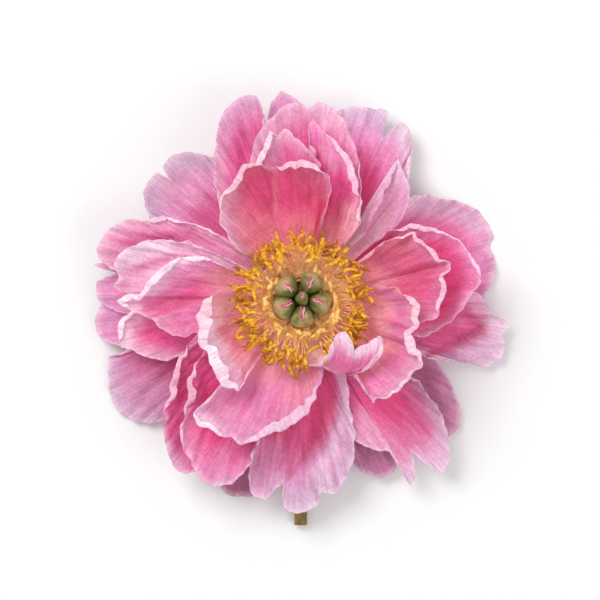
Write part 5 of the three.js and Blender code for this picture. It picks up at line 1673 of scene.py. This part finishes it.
def thread_to(bm, bearing, reach, height, chance):
    """A thread from the disc to a neck at this reach and height. Returns the neck's place."""
    way = compass(float(bearing))
    side = compass(float(bearing) + 90)
    foot = way * chance.uniform(*THREAD_FOOT) + [0, 0, DISC_TOP - 1.1]
    knee = way * KNEE_REACH + side * chance.uniform(-KNEE_SWAY, KNEE_SWAY) + [0, 0, DISC_TOP + 1.6]
    neck = way * reach + side * chance.uniform(-NECK_SWAY, NECK_SWAY) + [0, 0, height]
    thin = [THREAD_RADIUS] * (THREAD_POINTS - 1) + [NECK_RADIUS]
    add_rod(bm, bezier(foot, knee, neck, THREAD_POINTS), thin, thin, side, THREAD_SIDES,
            STAMEN_SKINS.index(THREAD))
    return neck


def add_anther(bm, neck, way, length, chance):
    """A long anther of two lobes that tapers, twists and curls one way and then the other."""
    up = np.array([0, 0, 1.0])
    side = np.cross(up, way)
    lift = chance.uniform(*ANTHER_LIFT)
    run = way * math.cos(lift) + up * math.sin(lift)
    bend = chance.uniform(-ANTHER_BEND, ANTHER_BEND) * length
    curl = chance.uniform(-ANTHER_CURL, ANTHER_CURL) * length
    centres = []
    for share in np.linspace(0, 1, len(ANTHER_SHAPE)):
        sideways = bend * math.sin(math.pi * 1.5 * share) + curl * share**3
        centres.append(neck + run * length * share + side * sideways
                       + up * ANTHER_WAVE * math.sin(5 * share + curl))
    centres = np.array(centres)
    girth = chance.uniform(*ANTHER_GIRTH)
    across, above = frames_along(centres, side)
    twist = chance.uniform(-ANTHER_TWIST, ANTHER_TWIST)
    rings = []
    for i, (c, a, u, share) in enumerate(zip(centres, across, above, ANTHER_SHAPE)):
        turn = twist * i / (len(ANTHER_SHAPE) - 1)
        turned = a * math.cos(turn) + u * math.sin(turn)
        upward = u * math.cos(turn) - a * math.sin(turn)
        rings.append(ring(c, turned, upward, share * girth, share * girth * ANTHER_FLATNESS,
                          ANTHER_SIDES, ANTHER_LOBES, 2))
    skin = TIP if chance.random() < ALL_BROWN else ANTHER
    faces = add_tube(bm, rings, STAMEN_SKINS.index(skin))
    row = bm.verts.layers.int["row"]
    browned = chance.choice(BROWNED)
    for face in faces:
        if min(vert[row] for vert in face.verts) >= browned:
            face.material_index = STAMEN_SKINS.index(TIP)


print("faces of an anther:", (len(ANTHER_SHAPE) - 1) * ANTHER_SIDES + 2)

# %% [markdown]
# ## The stamens
#
# A peony's centre is a thick brush of stamens. They fan out from one collar, the outer ones
# lower, and so many crowd together that the threads hide what is under them. The petaloid, a
# stamen that turned into a small petal, takes some of their room, so they lean in beside it.

# %% Stamens
STAMEN_RINGS = [
    dict(count=56, reach=26.4, height=37.6, length=7.6),
    dict(count=60, reach=25.4, height=39.0, length=7.6),
    dict(count=56, reach=23.8, height=40.4, length=7.2),
    dict(count=44, reach=22.4, height=41.8, length=6.6),
    dict(count=20, reach=20.4, height=42.6, length=5.6),
]
SAG = 1.2  # mm that the whole ring of anthers hangs towards the stem
BARE_THREADS = 170  # threads whose anther has dropped, or is hidden
ANTHER_TURN = 42  # degrees by which an anther points aside from its thread
PETALOID_BEARING = -78
PETALOID_CLAW = 9  # degrees each way round its foot in which no stamen stands
PETALOID_SPREAD = 26  # degrees each way over which the stamens lean in to make room for it
PETALOID_ROOM = 3  # mm that they lean in
COLLAR = [(9.2, 31.6), (11, 31.8), (13, 32.2), (15, 32.9), (16.6, 33.8)]  # (radius, height)
COLLAR_THICKNESS = 0.5
COLLAR_SIDES = 72


def from_petaloid(bearing):
    """Degrees between a bearing and the petaloid's."""
    return abs((bearing - PETALOID_BEARING + 540) % 360 - 180)


def add_stamen(bm, bearing, reach, height, length, chance):
    crowded = max(0.0, 1 - from_petaloid(bearing) / PETALOID_SPREAD)
    reach -= SAG * math.sin(math.radians(bearing)) + PETALOID_ROOM * crowded
    neck = thread_to(bm, bearing, reach - length * 0.5, height, chance)
    add_anther(bm, neck, compass(bearing + chance.gauss(0, ANTHER_TURN)), length, chance)


def foot_ring(bm, profile, material_index=0):
    """A low ring round the axis with this closed profile of (radius, height)."""
    round_axis = compass(np.linspace(0, 360, COLLAR_SIDES + 1))
    add_tube(bm, [round_axis * radius + [0, 0, z] for radius, z in profile], material_index)


def grow_stamens():
    chance = random.Random("stamens")
    bm = new_bmesh()
    under = [(radius, height - COLLAR_THICKNESS) for radius, height in reversed(COLLAR)]
    foot_ring(bm, [*COLLAR, *under, COLLAR[0]], STAMEN_SKINS.index(COLLAR_SKIN))
    for _ in range(BARE_THREADS):
        bearing = chance.uniform(0, 360)
        if from_petaloid(bearing) > PETALOID_CLAW:
            thread_to(bm, bearing, chance.uniform(16, 20), chance.uniform(34.6, 39), chance)
    for each in STAMEN_RINGS:
        for i in range(each["count"]):
            bearing = 360 * i / each["count"] + chance.uniform(-5, 5)
            if from_petaloid(bearing) > PETALOID_CLAW:
                add_stamen(bm, bearing, each["reach"] + chance.uniform(-1.5, 1.3),
                           each["height"] + chance.uniform(-1, 1),
                           each["length"] * chance.uniform(0.75, 1.1), chance)
    return finish_piece(bm, "stamens_fine", "stamens", STAMEN_SKINS)


stamens = grow_stamens()
print("stamen faces:", len(stamens.data.polygons))

# %% [markdown]
# ## The staminodes
#
# Inside the stamens stand pale straps that never made an anther. They rise round the carpels,
# and then bend sideways. The long ones on the left and right curve round the carpels, and the
# ones below are shorter and curl. A few more stand at the top.

# %% Staminodes
STRAP_CLUMPS = [
    dict(middle=186, half=22, count=6, longest=8.5),
    dict(middle=8, half=22, count=7, longest=8.5),
    dict(middle=238, half=26, count=8, longest=5),
    dict(middle=294, half=28, count=10, longest=6),
    dict(middle=54, half=12, count=2, longest=4),
    dict(middle=120, half=16, count=2, longest=4),
]
STRAP_SHAPE = np.array([0.6, 0.7, 0.75, 0.85, 0.95, 1.0, 1.0, 0.85, 0.4])  # half width, foot to tip
STRAP_GIRTH = (0.75, 1.12)  # mm
STRAP_DEPTH = 0.34  # mm
STRAP_SIDES = 8
STRAP_REACH = (11.8, 14.6)  # mm from the axis to where it bends
STRAP_ASIDE = 0.8  # mm that it has strayed sideways there
CLAW_CLEAR = 6  # degrees each way round the petaloid's foot in which no strap stands
STRAP_RING = [(7.5, DISC_BOTTOM), (8.4, DISC_BOTTOM), (8.4, DISC_TOP - 0.3), (8.1, DISC_TOP),
              (7.5, DISC_TOP), (7.5, DISC_BOTTOM)]  # (radius, height)


def add_strap(bm, bearing, longest, chance):
    """A strap that rises from the disc, then bends sideways and round the carpels."""
    way = compass(float(bearing))
    hand = chance.choice((-1, 1))
    side = compass(float(bearing) + 90) * hand
    tall = chance.uniform(-3.6, 0.4)
    reach = chance.uniform(*STRAP_REACH)
    sweep = hand * math.degrees(longest * chance.uniform(0.55, 1) / reach)
    rise = [(7.9, DISC_TOP - 0.6, 0), (9.8, 32.4, 0), (11.4, 34.6, 0.1), (reach - 0.7, 37.4, 0.3),
            (reach, 40 + tall, STRAP_ASIDE)]
    curl = [(reach + 0.5, 41.6 + tall, 0.35), (reach + 0.3, 42.3 + tall, 0.6),
            (reach + chance.uniform(-0.6, 1.8), 42.5 + tall, 0.82),
            (reach + chance.uniform(-1.4, 3.6), 41.8 + tall, 1)]
    centres = [way * radius + side * aside + [0, 0, z] for radius, z, aside in rise]
    centres += [compass(bearing + sweep * share) * radius + side * STRAP_ASIDE + [0, 0, z]
                for radius, z, share in curl]
    girth = chance.uniform(*STRAP_GIRTH)
    hints = [side] * 4 + [side + way * 0.6] + [way + [0, 0, chance.uniform(-0.6, 0.6)]] * 4
    add_rod(bm, centres, STRAP_SHAPE * girth, [STRAP_DEPTH] * len(centres), hints, STRAP_SIDES)


def grow_staminodes():
    chance = random.Random("staminodes")
    bm = new_bmesh()
    foot_ring(bm, STRAP_RING)
    for clump in STRAP_CLUMPS:
        for _ in range(clump["count"]):
            bearing = clump["middle"] + chance.uniform(-clump["half"], clump["half"])
            if from_petaloid(bearing) > CLAW_CLEAR:
                add_strap(bm, bearing, clump["longest"], chance)
    return finish_piece(bm, "staminodes_fine", "staminodes", [STRAW])


staminodes = grow_staminodes()
print("staminode faces:", len(staminodes.data.polygons))

# %% [markdown]
# ## The carpels' skins
#
# A carpel is green, with painted shade low down between its neighbours, and blushed with tan on
# its outer flank. Its crest has one magenta lip and one pale one.

# %% Carpel skins
CARPEL_GREENS = ((*linear(108, 116, 56), 1), (*linear(146, 148, 84), 1))
CARPEL_TAN = (*linear(200, 160, 118), 1)
CARPEL_PAINTED_SHADE = (*linear(74, 80, 40), 1)


def carpel_material():
    """Green, with painted shade low down, blushed with tan on the outer flank. The UV map's X runs
    round a carpel, with the outer flank at 0 and 1, and its Y runs from foot to tip."""
    material, tree, shader = new_skin("carpel skin", roughness=0.42)
    put = node(tree, "TexCoord")
    parts = node(tree, "SeparateXYZ")
    tree.links.new(put.outputs["UV"], parts.inputs[0])
    around = maths(tree, "MULTIPLY", maths(tree, "SUBTRACT", parts.outputs["X"], 0.5), 2.0)
    outside = maths(tree, "ABSOLUTE", around, 0)
    mottle = noise(tree, put.outputs["Object"], 380.0, 4)
    green = mix_colours(tree, ramp(tree, mottle, 0.35, 0.65), *CARPEL_GREENS)
    blush = weighed(tree, outside, 0.55, mottle)
    skin = mix_colours(tree, ramp(tree, blush, 0.72, 1.12), green, CARPEL_TAN)
    # Painted shade: darker low down, where the carpels press together.
    low = ramp(tree, parts.outputs["Y"], 0.62, 0.42)
    tree.links.new(mix_colours(tree, low, skin, CARPEL_PAINTED_SHADE), shader.inputs["Base Color"])
    bump_into(tree, shader, mottle, distance=0.0006, strength=0.6)
    return material


CARPEL_SKIN = carpel_material()
CREST = plain_material("crest", linear(208, 62, 120), linear(228, 110, 150), 1500.0, 0.5)
CREST_EDGE = plain_material("crest edge", linear(242, 196, 204), linear(226, 130, 160), 1100.0, 0.5)
CARPEL_SKINS = [CARPEL_SKIN, CREST, CREST_EDGE]
print("skins of a carpel:", [skin.name for skin in CARPEL_SKINS])

# %% [markdown]
# ## The carpels
#
# Six plump green carpels fill the middle, five round a small one. From above each is a rounded
# wedge that presses against its neighbours. It leans back a little, and ends in the stigma: a
# crest of two small wavy lips.

# %% Carpels
CARPEL_HEIGHT = 17
SMALL_RISE = 3  # mm; the one of size 0.6 stands 0.4 of this taller
CARPEL_LEAN = 0.09
CARPELS = [
    dict(name="carpel_upper_left", x=-6.2, y=4.6, crest=-40, size=1),
    dict(name="carpel_upper_right", x=3.8, y=6.6, crest=70, size=1),
    dict(name="carpel_right", x=7.6, y=-2, crest=-20, size=1),
    dict(name="carpel_bottom", x=0.2, y=-7.6, crest=90, size=1),
    dict(name="carpel_lower_left", x=-7.4, y=-3.6, crest=25, size=1),
    dict(name="carpel_middle", x=0, y=0, crest=80, size=0.6),
]
CARPEL_GIRTH = [(0, 1.7), (0.12, 1.8), (0.2, 2.6), (0.28, 3.3), (0.36, 3.9), (0.45, 4.3),
                (0.55, 4.45), (0.64, 4.35), (0.72, 3.95), (0.79, 3.3), (0.85, 2.5), (0.9, 1.8),
                (0.94, 1.2)]  # (share of its height, radius)
CARPEL_SPREAD = [(0, 0.62), (0.12, 0.62), (0.28, 0.84), (0.45, 0.98), (0.64, 0.98), (0.8, 0.9),
                 (0.9, 0.82), (1, 0.82)]  # (share of its height, share of its x and y)
CARPEL_SIDES = 30
CARPEL_BREADTH = 1.07  # how much broader a carpel is round the bloom than outwards
WEDGE = -0.07  # how much a carpel's outline is drawn to a corner towards the bloom's axis
LIP_POINTS = 11
LIP_SIDES = 8
LIPS = [dict(skin=CREST, shift=0.4, half=2.4, height=1.2),
        dict(skin=CREST_EDGE, shift=-0.5, half=2.1, height=0.9)]


def add_lip(bm, top, along, lip, size, chance):
    """One wavy lip of a crest, on top of a carpel."""
    level = np.cross([0, 0, 1.0], along)
    half = lip["half"] * size
    height = lip["height"] * size
    phase = chance.uniform(0, 6)
    arch = []
    for step in np.linspace(-1, 1, LIP_POINTS):
        sway = 0.22 * math.sin(4.2 * step + phase)
        opened = lip["shift"] * (0.75 + 0.45 * step)
        arch.append(top + along * half * step + level * (opened + sway) * size
                    + [0, 0, height * (1 - 0.75 * step * step) + 0.15 * math.sin(7 * step + phase)])
    ends = np.sin(np.pi * np.linspace(0.1, 0.9, LIP_POINTS)) ** 0.5
    add_rod(bm, arch, 0.7 * size * ends, 0.42 * size * ends, (0, 0, 1), LIP_SIDES,
            CARPEL_SKINS.index(lip["skin"]))


def grow_carpel(one):
    chance = random.Random(one["name"])
    size = one["size"]
    tall = CARPEL_HEIGHT + SMALL_RISE * (1 - size)
    shares, spreads = np.array(CARPEL_SPREAD).T

    def centre(share):
        spread_here = np.interp(share, shares, spreads)
        return np.array([one["x"] * spread_here,
                         one["y"] * spread_here + CARPEL_LEAN * tall * share * share,
                         DISC_BOTTOM + tall * share])

    outward = unit(np.array([one["x"] + 0.01, one["y"], 0.0]))
    centres = np.array([centre(share) for share, _ in CARPEL_GIRTH])
    across, up = frames_along(centres, outward)
    bm = new_bmesh()
    add_tube(bm, [ring(c, a, u, girth * size, girth * size * CARPEL_BREADTH, CARPEL_SIDES, WEDGE, 3)
                  for c, a, u, (_, girth) in zip(centres, across, up, CARPEL_GIRTH)])
    along = compass(float(one["crest"]))
    for lip in LIPS:
        add_lip(bm, centre(0.93), along, lip, size, chance)
    return finish_piece(bm, one["name"] + "_fine", one["name"], CARPEL_SKINS)


carpels = [grow_carpel(one) for one in CARPELS]
print("carpel faces:", [len(piece.data.polygons) for piece in carpels])
